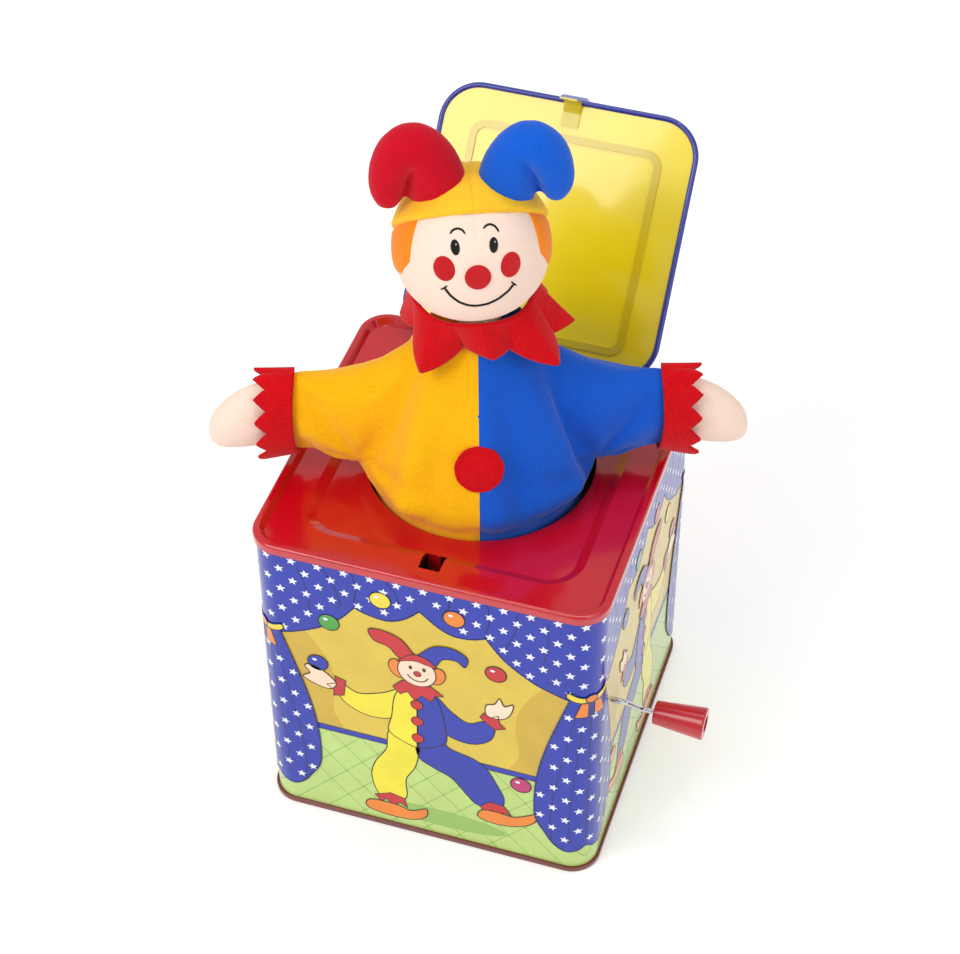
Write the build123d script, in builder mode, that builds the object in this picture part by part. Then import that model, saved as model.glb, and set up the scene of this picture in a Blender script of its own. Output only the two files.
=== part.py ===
from build123d import *
import math
import os

os.makedirs("parts", exist_ok=True)

# ---------------------------------------------------------------------------
# Jack in the box: a tinplate box with a crank-driven musical movement, a hinged
# lid, and a soft clown puppet on a compression spring.
# Millimetres. X to the right, Y to the back, Z up, origin at the middle of the
# underside of the box. The lid stands open and the puppet is up.
# ---------------------------------------------------------------------------

# --- box ---
BOX_W = 140.0          # walls, outside
BOX_H = 155.0          # over the rolled top rim
CORNER_R = 11.0        # vertical corners, outside
TIN = 0.5              # tinplate
RIM_W = 142.4          # over the rolled rims
RIM_R = 12.2
WALL_Z0 = 0.8
WALL_Z1 = 153.4

# --- top panel ---
DECK_W = 133.4         # inside the top rim
DECK_R = 8.0
DECK_Z = 152.5         # outer flat
RECESS_Z = 150.5       # inner flat
RECESS_W_TOP = 112.0   # step, upper edge
RECESS_W_BOT = 104.0   # step, lower edge
HOLE_R = 45.6          # opening for the puppet
HOLE_Y = 3.5           # the opening sits towards the hinge, clear of the catch slot
SLOT_X0, SLOT_X1 = -4.0, 4.5
SLOT_Y0, SLOT_Y1 = -62.0, -52.0

# --- lid and hinge ---
HINGE_Y = 56.5
HINGE_Z = 154.3
OPEN_LEAN = 49.2       # degrees of the open lid above the horizontal, behind the hinge
LID_W = 109.4          # over the rim
LID_V0 = 1.9           # rear edge, from the hinge axis
LID_V1 = 110.2         # free edge, from the hinge axis
LID_R = 17.0
LID_BEAD = 1.15        # rim bead radius
PIN_R = 0.8
KNUCKLE_R = 1.5

# --- crank ---
CRANK_Y, CRANK_Z = -48.0, 87.0
WIRE_R = 1.1
CRANK_ARM_Y, CRANK_ARM_Z = 15.35, -20.05
ARM_X = 77.0           # middle of the crank arm
KNOB_X0, KNOB_L = 84.5, 21.0
KNOB_R0, KNOB_R1 = 4.85, 6.8

# --- musical movement ---
ARBOR_Y, ARBOR_Z = -58.0, 96.29
ARBOR_R = 1.5
GEAR_M = 0.65
PINION_N, GEAR_N = 12, 30
GEAR_X0, GEAR_T = 50.3, 3.0
CYL_X0, CYL_X1, CYL_R = 8.5, 39.5, 6.5
FRAME_X0, FRAME_X1, FRAME_T = 5.0, 45.2, 1.2

# --- latch ---
LATCH_Y, LATCH_Z = -60.0, 120.0
LATCH_PIN_R = 1.0

# --- puppet ---
PUPPET_YAW = 18.6      # the puppet is turned on its spring, towards +X
HEAD_Z, HEAD_R = 261.0, 28.6
NECK_Z = 227.0         # top of the robe
ROBE_Z0 = 4.4          # hem inside the box
ROBE_T = 1.4
SPRING_R, SPRING_WIRE = 17.5, 0.9
SPRING_Z0, SPRING_Z1 = 5.6, 215.0
SPRING_TURNS = 8

yaw = math.radians(PUPPET_YAW)
LAT = Vector(math.cos(yaw), math.sin(yaw), 0)      # puppet's lateral direction
BACK = Vector(-math.sin(yaw), math.cos(yaw), 0)    # puppet's back direction
PUP = Plane(origin=(0, 0, 0), x_dir=LAT, z_dir=(0, 0, 1))

lean = math.radians(OPEN_LEAN)
# lid plane: local x along the hinge, local y to the free edge, local z out of the inner face
LID = Plane(origin=(0, HINGE_Y, HINGE_Z), x_dir=(1, 0, 0),
            z_dir=(0, -math.sin(lean), math.cos(lean)))
LID_L = LID_V1 - LID_V0
LID_VC = (LID_V0 + LID_V1) / 2


def lid_point(x, v, w):
    return LID.from_local_coords(Vector(x, v, w))


def pup_point(u, y, z):
    return LAT * u + BACK * y + Vector(0, 0, z)


# =========================== box ===========================================

# four walls from one strip, with the crank hole and the folded lock seam inside the back
with BuildPart() as wall_shell:
    with BuildSketch(Plane.XY.offset(WALL_Z0)):
        RectangleRounded(BOX_W, BOX_W, CORNER_R)
        RectangleRounded(BOX_W - 2 * TIN, BOX_W - 2 * TIN, CORNER_R - TIN, mode=Mode.SUBTRACT)
    extrude(amount=WALL_Z1 - WALL_Z0)
    with BuildSketch(Plane.XY.offset(6)):
        with Locations((-40, BOX_W / 2 - TIN - 0.35)):
            Rectangle(6, 0.9)
    extrude(amount=138)
    with BuildSketch(Plane(origin=(BOX_W / 2 - 3, CRANK_Y, CRANK_Z), z_dir=(1, 0, 0))):
        Circle(2.5)
    extrude(amount=6, mode=Mode.SUBTRACT)
wall_shell.part.label = "wall_shell"
export_step(wall_shell.part, "parts/wall_shell.step")

# rolled bottom rim, with the groove that the walls are seamed into
with BuildPart() as bottom_rim:
    with BuildSketch(Plane.XY):
        RectangleRounded(RIM_W, RIM_W, RIM_R)
        RectangleRounded(BOX_W - 4.4, BOX_W - 4.4, CORNER_R - 2.2, mode=Mode.SUBTRACT)
    extrude(amount=2.6)
    fillet(bottom_rim.edges().filter_by(lambda e: abs(e.center().X) > 70 or abs(e.center().Y) > 70
                                        or (abs(e.center().X) > 66.9 and abs(e.center().Y) > 66.9)), 0.55)
    with BuildSketch(Plane.XY.offset(WALL_Z0)):
        RectangleRounded(BOX_W, BOX_W, CORNER_R)
        RectangleRounded(BOX_W - 2 * TIN, BOX_W - 2 * TIN, CORNER_R - TIN, mode=Mode.SUBTRACT)
    extrude(amount=4, mode=Mode.SUBTRACT)
bottom_rim.part.label = "bottom_rim"
export_step(bottom_rim.part, "parts/bottom_rim.step")

# bottom sheet, seamed inside the rim, with one pressed stiffening step
with BuildPart() as bottom_panel:
    with BuildSketch(Plane.XY.offset(1.2)):
        RectangleRounded(BOX_W - 4.4, BOX_W - 4.4, CORNER_R - 2.2)
    extrude(amount=1.4)
    with BuildSketch(Plane.XY.offset(1.2)):
        RectangleRounded(112, 112, 12)
    extrude(amount=0.8, mode=Mode.SUBTRACT)
    with BuildSketch(Plane.XY.offset(2.6)):
        RectangleRounded(BOX_W - 4.4, BOX_W - 4.4, CORNER_R - 2.2)
        RectangleRounded(113, 113, 12.5, mode=Mode.SUBTRACT)
    extrude(amount=-0.8, mode=Mode.SUBTRACT)
bottom_panel.part.label = "bottom_panel"
export_step(bottom_panel.part, "parts/bottom_panel.step")

# rolled top rim
with BuildPart() as top_rim:
    with BuildSketch(Plane.XY.offset(151.0)):
        RectangleRounded(RIM_W, RIM_W, RIM_R)
    extrude(amount=BOX_H - 151.0)
    fillet(top_rim.faces().sort_by(Axis.Z)[-1].edges(), 1.3)
    with BuildSketch(Plane.XY.offset(150.9)):
        RectangleRounded(DECK_W, DECK_W, DECK_R)
    extrude(amount=1.6, mode=Mode.SUBTRACT)
    with BuildSketch(Plane.XY.offset(DECK_Z)):
        RectangleRounded(DECK_W, DECK_W, DECK_R)
    with BuildSketch(Plane.XY.offset(BOX_H + 0.1)):
        RectangleRounded(DECK_W + 3.6, DECK_W + 3.6, DECK_R + 1.8)
    loft(mode=Mode.SUBTRACT)
    with BuildSketch(Plane.XY.offset(150.9)):
        RectangleRounded(BOX_W, BOX_W, CORNER_R)
        RectangleRounded(BOX_W - 2 * TIN, BOX_W - 2 * TIN, CORNER_R - TIN, mode=Mode.SUBTRACT)
    extrude(amount=WALL_Z1 - 150.9, mode=Mode.SUBTRACT)
top_rim.part.label = "top_rim"
export_step(top_rim.part, "parts/top_rim.step")

# space below the sloped step, which the pressed sheet follows
with BuildPart() as under_step:
    with BuildSketch(Plane.XY.offset(RECESS_Z - 0.6)):
        RectangleRounded(RECESS_W_BOT + 1.4, RECESS_W_BOT + 1.4, 11.7)
    with BuildSketch(Plane.XY.offset(DECK_Z - 0.6)):
        RectangleRounded(RECESS_W_TOP + 1.4, RECESS_W_TOP + 1.4, 15.7)
    loft()

# space below the outer flat
with BuildPart() as under_deck:
    with BuildSketch(Plane.XY.offset(RECESS_Z - 0.6)):
        RectangleRounded(DECK_W, DECK_W, DECK_R)
    extrude(amount=DECK_Z - RECESS_Z)
    add(under_step.part, mode=Mode.SUBTRACT)

# top panel: outer flat, sloped step, recessed flat with the round opening and the catch slot
with BuildPart() as top_panel:
    with BuildSketch(Plane.XY.offset(RECESS_Z - 0.6)):
        RectangleRounded(DECK_W, DECK_W, DECK_R)
    extrude(amount=DECK_Z - RECESS_Z + 0.6)
    with BuildSketch(Plane.XY.offset(RECESS_Z)):
        RectangleRounded(RECESS_W_BOT, RECESS_W_BOT, 11)
    with BuildSketch(Plane.XY.offset(DECK_Z)):
        RectangleRounded(RECESS_W_TOP, RECESS_W_TOP, 15)
    loft(mode=Mode.SUBTRACT)
    add(under_deck.part, mode=Mode.SUBTRACT)
    # turned-down lip around the opening
    with BuildSketch(Plane.XY.offset(146.9)):
        with Locations((0, HOLE_Y)):
            Circle(HOLE_R + 0.6)
    extrude(amount=3.2)
    with BuildSketch(Plane.XY.offset(146)):
        with Locations((0, HOLE_Y)):
            Circle(HOLE_R)
    extrude(amount=8, mode=Mode.SUBTRACT)
    # catch slot, and the tongue turned down from its rear edge
    with BuildSketch(Plane.XY.offset(145)):
        with Locations(((SLOT_X0 + SLOT_X1) / 2, (SLOT_Y0 + SLOT_Y1) / 2)):
            RectangleRounded(SLOT_X1 - SLOT_X0, SLOT_Y1 - SLOT_Y0, 0.8)
    extrude(amount=10, mode=Mode.SUBTRACT)
    with BuildSketch(Plane.XY.offset(142.5)):
        with Locations((-0.8, SLOT_Y1 + 0.3)):
            Rectangle(5.0, 0.6)
    extrude(amount=7.6)
top_panel.part.label = "top_panel"
export_step(top_panel.part, "parts/top_panel.step")

# hinge leaf fixed behind the recess: plate, two knuckles and the folded stop lip
with BuildPart() as hinge_leaf:
    with BuildSketch(Plane.XY.offset(DECK_Z)):
        with Locations((0, 62.0)):
            Rectangle(44, 5.6)
    extrude(amount=0.5)
    with BuildSketch(Plane.XY.offset(DECK_Z)):
        with Locations((-17, 58.0), (17, 58.0)):
            Rectangle(10, 3.0)
    extrude(amount=0.5)
    with BuildSketch(Plane(origin=(-22, HINGE_Y, HINGE_Z), z_dir=(1, 0, 0))):
        Circle(KNUCKLE_R)
    extrude(amount=10)
    with BuildSketch(Plane(origin=(12, HINGE_Y, HINGE_Z), z_dir=(1, 0, 0))):
        Circle(KNUCKLE_R)
    extrude(amount=10)
    with BuildSketch(Plane.XY.offset(DECK_Z)):
        with Locations((0, 59.8)):
            Rectangle(22, 0.6)
    extrude(amount=2.5)
    with BuildSketch(Plane(origin=(-23, HINGE_Y, HINGE_Z), z_dir=(1, 0, 0))):
        Circle(PIN_R)
    extrude(amount=46, mode=Mode.SUBTRACT)
hinge_leaf.part.label = "hinge_leaf"
export_step(hinge_leaf.part, "parts/hinge_leaf.step")

# hinge pin with upset ends
with BuildPart() as hinge_pin:
    with BuildSketch(Plane(origin=(-22, HINGE_Y, HINGE_Z), z_dir=(1, 0, 0))):
        Circle(PIN_R)
    extrude(amount=44)
    with BuildSketch(Plane(origin=(-22.7, HINGE_Y, HINGE_Z), z_dir=(1, 0, 0))):
        Circle(1.2)
    extrude(amount=0.7)
    with BuildSketch(Plane(origin=(22, HINGE_Y, HINGE_Z), z_dir=(1, 0, 0))):
        Circle(1.2)
    extrude(amount=0.7)
hinge_pin.part.label = "hinge_pin"
export_step(hinge_pin.part, "parts/hinge_pin.step")

# two domed rivets that hold the fixed leaf
with BuildPart() as hinge_rivets:
    with BuildSketch(Plane.XY.offset(DECK_Z + 0.5)):
        with Locations((-17, 62.4), (17, 62.4)):
            Circle(1.6)
    extrude(amount=0.7)
    fillet(hinge_rivets.faces().group_by(Axis.Z)[-1].edges(), 0.45)
hinge_rivets.part.label = "hinge_rivets"
export_step(hinge_rivets.part, "parts/hinge_rivets.step")

# =========================== lid ===========================================

# pressed lid sheet with an embossed frame on the inner face; its edge meets the rim bead
with BuildPart() as lid_panel:
    with BuildSketch(LID.offset(-0.25)):
        with Locations((0, LID_VC)):
            RectangleRounded(LID_W - 4 * LID_BEAD, LID_L - 4 * LID_BEAD, LID_R - 2 * LID_BEAD)
    extrude(amount=0.5)
    with BuildSketch(LID.offset(0.25)):
        with Locations((0, 53.5)):
            RectangleRounded(81, 84, 7)
            RectangleRounded(75, 78, 4, mode=Mode.SUBTRACT)
    extrude(amount=0.7)
lid_panel.part.label = "lid_panel"
export_step(lid_panel.part, "parts/lid_panel.step")

# rolled lid rim: a round bead all round, with a thumb bump in the middle of the free edge
with BuildPart() as lid_rim:
    with BuildSketch(LID, mode=Mode.PRIVATE) as bead_outline:
        with Locations((0, LID_VC)):
            RectangleRounded(LID_W - 2 * LID_BEAD, LID_L - 2 * LID_BEAD, LID_R - LID_BEAD)
    bead_path = bead_outline.sketch.face().outer_wire()
    with BuildSketch(Plane(origin=bead_path @ 0, z_dir=bead_path % 0)) as bead_profile:
        Circle(LID_BEAD)
    sweep(sections=bead_profile.sketch, path=bead_path)
    with BuildSketch(LID.offset(-0.75)):
        with BuildLine():
            Polyline((-7.5, LID_V1 - 1.0), (-5, LID_V1 + 1.1), (5, LID_V1 + 1.1), (7.5, LID_V1 - 1.0), close=True)
        make_face()
    extrude(amount=1.5)
lid_rim.part.label = "lid_rim"
export_step(lid_rim.part, "parts/lid_rim.step")

# catch tab: flange on the lid, a joggle, and a blade with the window for the latch
with BuildPart() as catch_tab:
    with BuildSketch(Plane(origin=lid_point(-3.6, 0, 0), x_dir=LID.y_dir, z_dir=LID.x_dir)):
        with BuildLine():
            Polyline((98.6, 0.25), (104.6, 0.25), (109.2, 2.6), (109.2, 12.6), (108.6, 12.6),
                     (108.6, 2.95), (104.4, 0.85), (98.6, 0.85), close=True)
        make_face()
    extrude(amount=7.2)
    with BuildSketch(Plane(origin=lid_point(0, 107.5, 8.55), x_dir=LID.x_dir, z_dir=LID.y_dir)):
        Rectangle(4.6, 4.9)
    extrude(amount=3, mode=Mode.SUBTRACT)
catch_tab.part.label = "catch_tab"
export_step(catch_tab.part, "parts/catch_tab.step")

# moving hinge leaf: middle knuckle, a strap over the rim bead, and a foot on the lid's outer face
with BuildPart() as lid_hinge_leaf:
    with BuildSketch(Plane(origin=(-11.6, HINGE_Y, HINGE_Z), z_dir=(1, 0, 0))):
        Circle(1.65)
    extrude(amount=23.2)
    with BuildSketch(Plane(origin=lid_point(-10.6, 0, 0), x_dir=LID.y_dir, z_dir=LID.x_dir)):
        with BuildLine():
            Polyline((0, -1.65), (5.0, -1.65), (5.9, -0.75), (13.0, -0.75), (13.0, -0.25),
                     (5.2, -0.25), (4.6, -1.15), (0, -1.15), close=True)
        make_face()
    extrude(amount=21.2)
    with BuildSketch(Plane(origin=(-12, HINGE_Y, HINGE_Z), z_dir=(1, 0, 0))):
        Circle(PIN_R + 0.05)
    extrude(amount=24, mode=Mode.SUBTRACT)
lid_hinge_leaf.part.label = "lid_hinge_leaf"
export_step(lid_hinge_leaf.part, "parts/lid_hinge_leaf.step")

# two rivets through the leaf's foot, heads on the outside
with BuildPart() as lid_rivets:
    with BuildSketch(LID.offset(-1.4)):
        with Locations((-6.5, 9.6), (6.5, 9.6)):
            Circle(1.5)
    extrude(amount=0.65)
lid_rivets.part.label = "lid_rivets"
export_step(lid_rivets.part, "parts/lid_rivets.step")

# =========================== crank =========================================

pin_y, pin_z = CRANK_Y + CRANK_ARM_Y, CRANK_Z + CRANK_ARM_Z

# one bent wire: shaft, arm and the pin that the knob turns on
with BuildPart() as crank_wire:
    with BuildSketch(Plane(origin=(40.6, CRANK_Y, CRANK_Z), z_dir=(1, 0, 0))) as wire_profile:
        Circle(WIRE_R)
    with BuildLine() as wire_path:
        FilletPolyline((40.6, CRANK_Y, CRANK_Z), (ARM_X - 1.5, CRANK_Y, CRANK_Z),
                       (ARM_X + 1.5, pin_y, pin_z), (KNOB_X0 + KNOB_L - 1.6, pin_y, pin_z), radius=2.6)
    sweep(sections=wire_profile.sketch, path=wire_path.line)
crank_wire.part.label = "crank_wire"
export_step(crank_wire.part, "parts/crank_wire.step")

# push-on washer that keeps the knob on the wire
with BuildPart() as knob_retainer:
    with BuildSketch(Plane(origin=(KNOB_X0 + KNOB_L - 3.2, pin_y, pin_z), z_dir=(1, 0, 0))):
        Circle(3.0)
        Circle(WIRE_R, mode=Mode.SUBTRACT)
    extrude(amount=0.6)
knob_retainer.part.label = "knob_retainer"
export_step(knob_retainer.part, "parts/knob_retainer.step")

# tapered knob, wider at its outer end
with BuildPart() as crank_knob:
    with BuildSketch(Plane(origin=(KNOB_X0, pin_y, pin_z), z_dir=(1, 0, 0))):
        Circle(KNOB_R0)
    with BuildSketch(Plane(origin=(KNOB_X0 + KNOB_L, pin_y, pin_z), z_dir=(1, 0, 0))):
        Circle(KNOB_R1)
    loft()
    fillet(crank_knob.edges().filter_by(GeomType.CIRCLE), 0.8)
    with BuildSketch(Plane(origin=(KNOB_X0 - 1, pin_y, pin_z), z_dir=(1, 0, 0))):
        Circle(WIRE_R + 0.06)
    extrude(amount=KNOB_L + 2, mode=Mode.SUBTRACT)
    with BuildSketch(Plane(origin=(KNOB_X0 + KNOB_L - 3.6, pin_y, pin_z), z_dir=(1, 0, 0))):
        Circle(3.4)
    extrude(amount=5, mode=Mode.SUBTRACT)
crank_knob.part.label = "crank_knob"
export_step(crank_knob.part, "parts/crank_knob.step")


# =========================== musical movement ==============================

def gear_outline(n, m, phase, thin=0.05, pa=25.0, add_k=0.85, ded_k=1.15, steps=5):
    """Points of an involute spur gear, its first tooth centred at the angle phase."""
    rp = m * n / 2
    rb = rp * math.cos(math.radians(pa))
    ra, rf = rp + add_k * m, rp - ded_k * m
    inv = lambda a: math.tan(a) - a
    half = math.pi / (2 * n) - thin / rp
    pts = []
    for k in range(n):
        c = phase + 2 * math.pi * k / n
        side = []
        r0 = max(rb, rf)
        for i in range(steps):
            r = r0 + (ra - r0) * i / (steps - 1)
            a = math.acos(min(1.0, rb / r))
            side.append((r, half + inv(math.radians(pa)) - inv(a)))
        if rf < rb:
            side.insert(0, (rf, side[0][1]))
        pts += [(r * math.cos(c - t), r * math.sin(c - t)) for r, t in side]
        pts += [(r * math.cos(c + t), r * math.sin(c + t)) for r, t in reversed(side)]
    return pts


# angle from the arbor to the crank shaft, in the plane of the gears
mesh_angle = math.atan2(CRANK_Z - ARBOR_Z, CRANK_Y - ARBOR_Y)
gear_plane = Plane(origin=(GEAR_X0, ARBOR_Y, ARBOR_Z), x_dir=(0, 1, 0), z_dir=(1, 0, 0))
pinion_plane = Plane(origin=(GEAR_X0 - 0.5, CRANK_Y, CRANK_Z), x_dir=(0, 1, 0), z_dir=(1, 0, 0))

# 30-tooth gear on the arbor: a tooth gap faces the pinion
with BuildPart() as cylinder_gear:
    with BuildSketch(gear_plane):
        with BuildLine():
            Polyline(*gear_outline(GEAR_N, GEAR_M, mesh_angle + math.pi / GEAR_N), close=True)
        make_face()
        Circle(ARBOR_R, mode=Mode.SUBTRACT)
        with PolarLocations(5.2, 5):
            Circle(1.5, mode=Mode.SUBTRACT)
    extrude(amount=GEAR_T)
cylinder_gear.part.label = "cylinder_gear"
export_step(cylinder_gear.part, "parts/cylinder_gear.step")

# 12-tooth pinion on the crank shaft: a tooth faces the gear
with BuildPart() as crank_pinion:
    with BuildSketch(pinion_plane):
        with BuildLine():
            Polyline(*gear_outline(PINION_N, GEAR_M, mesh_angle + math.pi), close=True)
        make_face()
        Circle(WIRE_R, mode=Mode.SUBTRACT)
    extrude(amount=GEAR_T + 1.0)
crank_pinion.part.label = "crank_pinion"
export_step(crank_pinion.part, "parts/crank_pinion.step")

# spring clip on the inner end of the crank shaft
with BuildPart() as crank_clip:
    with BuildSketch(Plane(origin=(41.2, CRANK_Y, CRANK_Z), z_dir=(1, 0, 0))):
        Circle(2.3)
        Circle(WIRE_R, mode=Mode.SUBTRACT)
    extrude(amount=0.6)
crank_clip.part.label = "crank_clip"
export_step(crank_clip.part, "parts/crank_clip.step")

# flanged bush for the crank shaft, in the frame's right cheek
with BuildPart() as crank_bush:
    with BuildSketch(Plane(origin=(42.1, CRANK_Y, CRANK_Z), z_dir=(1, 0, 0))):
        Circle(2.3)
    extrude(amount=6.0)
    with BuildSketch(Plane(origin=(FRAME_X1, CRANK_Y, CRANK_Z), z_dir=(1, 0, 0))):
        Circle(3.4)
    extrude(amount=1.0)
    with BuildSketch(Plane(origin=(42, CRANK_Y, CRANK_Z), z_dir=(1, 0, 0))):
        Circle(WIRE_R + 0.05)
    extrude(amount=8, mode=Mode.SUBTRACT)
crank_bush.part.label = "crank_bush"
export_step(crank_bush.part, "parts/crank_bush.step")

# frame folded from sheet: back plate against the front wall, two cheeks and the comb's seat
with BuildPart() as movement_frame:
    with BuildSketch(Plane.XY.offset(84)):
        with Locations(((FRAME_X0 + FRAME_X1) / 2, -68.85)):
            Rectangle(FRAME_X1 - FRAME_X0, FRAME_T)
    extrude(amount=38)
    with BuildSketch(Plane.XY.offset(82.5)):
        with Locations((FRAME_X0 + FRAME_T / 2, (-69.45 - 52.0) / 2)):
            Rectangle(FRAME_T, 17.45)
        with Locations((FRAME_X1 - FRAME_T / 2, (-69.45 - 44.5) / 2)):
            Rectangle(FRAME_T, 24.95)
    extrude(amount=22)
    with BuildSketch(Plane.XY.offset(110.5)):
        with Locations(((CYL_X0 + CYL_X1) / 2, -67.25)):
            Rectangle(CYL_X1 - CYL_X0, 2.0)
    extrude(amount=9.5)
    with BuildSketch(Plane(origin=(0, ARBOR_Y, ARBOR_Z), z_dir=(1, 0, 0))):
        Circle(ARBOR_R + 0.05)
    extrude(amount=60, mode=Mode.SUBTRACT)
    with BuildSketch(Plane(origin=(FRAME_X1 - 4, CRANK_Y, CRANK_Z), z_dir=(1, 0, 0))):
        Circle(2.3)
    extrude(amount=8, mode=Mode.SUBTRACT)
    with BuildSketch(Plane(origin=(0, -69.0, 115.3), x_dir=(1, 0, 0), z_dir=(0, 1, 0))):
        with Locations((14.0, 0), (34.0, 0)):
            Circle(1.0)
    extrude(amount=4, mode=Mode.SUBTRACT)
movement_frame.part.label = "movement_frame"
export_step(movement_frame.part, "parts/movement_frame.step")

# steel comb: a plate with 12 tuned teeth whose tips stand just clear of the cylinder's pins
COMB_X0, COMB_X1 = 10.0, 38.0
with BuildPart() as comb:
    with BuildSketch(Plane.XY.offset(97.2)):
        with Locations(((COMB_X0 + COMB_X1) / 2, -65.75)):
            Rectangle(COMB_X1 - COMB_X0, 1.0)
    extrude(amount=22.4)
    with BuildSketch(Plane(origin=((COMB_X0 + COMB_X1) / 2, -66.6, 102.8), x_dir=(1, 0, 0), z_dir=(0, 1, 0))):
        with GridLocations((COMB_X1 - COMB_X0) / 12, 0, 11, 1):
            Rectangle(0.6, 11.4)
    extrude(amount=2, mode=Mode.SUBTRACT)
    with BuildSketch(Plane(origin=(0, -66.6, 115.3), x_dir=(1, 0, 0), z_dir=(0, 1, 0))):
        with Locations((14.0, 0), (34.0, 0)):
            Circle(1.0)
    extrude(amount=2, mode=Mode.SUBTRACT)
comb.part.label = "comb"
export_step(comb.part, "parts/comb.step")

# two cheese-head screws that clamp the comb
with BuildPart() as comb_screws:
    with BuildSketch(Plane(origin=(0, -65.25, 115.3), x_dir=(1, 0, 0), z_dir=(0, 1, 0))):
        with Locations((14.0, 0), (34.0, 0)):
            Circle(1.9)
    extrude(amount=1.3)
    with BuildSketch(Plane(origin=(0, -68.6, 115.3), x_dir=(1, 0, 0), z_dir=(0, 1, 0))):
        with Locations((14.0, 0), (34.0, 0)):
            Circle(1.0)
    extrude(amount=3.4)
    with BuildSketch(Plane(origin=(0, -64.6, 115.3), x_dir=(1, 0, 0), z_dir=(0, 1, 0))):
        with Locations((14.0, 0), (34.0, 0)):
            Rectangle(4.2, 0.5)
    extrude(amount=1.2, mode=Mode.SUBTRACT)
comb_screws.part.label = "comb_screws"
export_step(comb_screws.part, "parts/comb_screws.step")

# steel arbor
with BuildPart() as cylinder_arbor:
    with BuildSketch(Plane(origin=(-3, ARBOR_Y, ARBOR_Z), z_dir=(1, 0, 0))):
        Circle(ARBOR_R)
    extrude(amount=58)
cylinder_arbor.part.label = "cylinder_arbor"
export_step(cylinder_arbor.part, "parts/cylinder_arbor.step")

# pinned brass cylinder: a tube closed by end discs, with the tune's pins
with BuildPart() as pin_cylinder:
    with BuildSketch(Plane(origin=(CYL_X0, ARBOR_Y, ARBOR_Z), z_dir=(1, 0, 0))):
        Circle(CYL_R)
        Circle(ARBOR_R, mode=Mode.SUBTRACT)
    extrude(amount=CYL_X1 - CYL_X0)
    with BuildSketch(Plane(origin=(CYL_X0 + 1.5, ARBOR_Y, ARBOR_Z), z_dir=(1, 0, 0))):
        Circle(CYL_R - 0.8)
        Circle(ARBOR_R + 0.8, mode=Mode.SUBTRACT)
    extrude(amount=CYL_X1 - CYL_X0 - 3, mode=Mode.SUBTRACT)
    for i in range(24):
        pin_x = COMB_X0 + (COMB_X1 - COMB_X0) / 12 * ((i * 5) % 12 + 0.5)
        pin_a = math.radians(360 / 24 * i + 7)
        pin_dir = Vector(0, math.cos(pin_a), math.sin(pin_a))
        with BuildSketch(Plane(origin=Vector(pin_x, ARBOR_Y, ARBOR_Z) + pin_dir * (CYL_R - 0.4), z_dir=pin_dir)):
            Circle(0.3)
        extrude(amount=0.9)
pin_cylinder.part.label = "pin_cylinder"
export_step(pin_cylinder.part, "parts/pin_cylinder.step")

# trip cam at the arbor's inner end: a round disc with one lobe
with BuildPart() as trip_cam:
    with BuildSketch(Plane(origin=(-1.5, ARBOR_Y, ARBOR_Z), x_dir=(0, 1, 0), z_dir=(1, 0, 0))):
        Circle(4.6)
        with BuildLine():
            Polyline((4.4, -1.2), (7.2, 0.2), (7.2, 1.6), (1.6, 4.2), (0, 0), close=True)
        make_face()
        Circle(ARBOR_R, mode=Mode.SUBTRACT)
    extrude(amount=3.0)
trip_cam.part.label = "trip_cam"
export_step(trip_cam.part, "parts/trip_cam.step")

# =========================== latch =========================================

# folded bracket on the front wall with two ears
with BuildPart() as latch_bracket:
    with BuildSketch(Plane.XY.offset(114)):
        with Locations((0, -68.95)):
            Rectangle(7.0, 1.0)
    extrude(amount=12)
    with BuildSketch(Plane.XY.offset(115)):
        with Locations((-2.9, -63.0), (2.9, -63.0)):
            Rectangle(1.2, 12.0)
    extrude(amount=10)
    with BuildSketch(Plane(origin=(-5, LATCH_Y, LATCH_Z), z_dir=(1, 0, 0))):
        Circle(LATCH_PIN_R)
    extrude(amount=10, mode=Mode.SUBTRACT)
latch_bracket.part.label = "latch_bracket"
export_step(latch_bracket.part, "parts/latch_bracket.step")

with BuildPart() as latch_pin:
    with BuildSketch(Plane(origin=(-4.1, LATCH_Y, LATCH_Z), z_dir=(1, 0, 0))):
        Circle(LATCH_PIN_R)
    extrude(amount=8.2)
latch_pin.part.label = "latch_pin"
export_step(latch_pin.part, "parts/latch_pin.step")

# latch lever: hook nose at the top, boss on the pin, foot over the trip cam
with BuildPart() as latch_lever:
    with BuildSketch(Plane(origin=(-0.6, LATCH_Y, LATCH_Z), x_dir=(0, 1, 0), z_dir=(1, 0, 0))):
        with BuildLine():
            Polyline((-1.6, -15.2), (1.6, -15.2), (1.4, -2), (1.4, 22), (1.6, 24.9), (4.6, 25.1),
                     (4.6, 26.3), (1.6, 27.6), (-1.4, 27.6), (-1.4, -2), close=True)
        make_face()
        Circle(2.4)
    extrude(amount=1.2)
    with BuildSketch(Plane(origin=(-2.0, LATCH_Y, LATCH_Z), z_dir=(1, 0, 0))):
        Circle(1.9)
    extrude(amount=4.0)
    with BuildSketch(Plane(origin=(-3, LATCH_Y, LATCH_Z), z_dir=(1, 0, 0))):
        Circle(LATCH_PIN_R + 0.05)
    extrude(amount=6, mode=Mode.SUBTRACT)
latch_lever.part.label = "latch_lever"
export_step(latch_lever.part, "parts/latch_lever.step")

# =========================== spring, hoop, robe ============================

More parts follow.
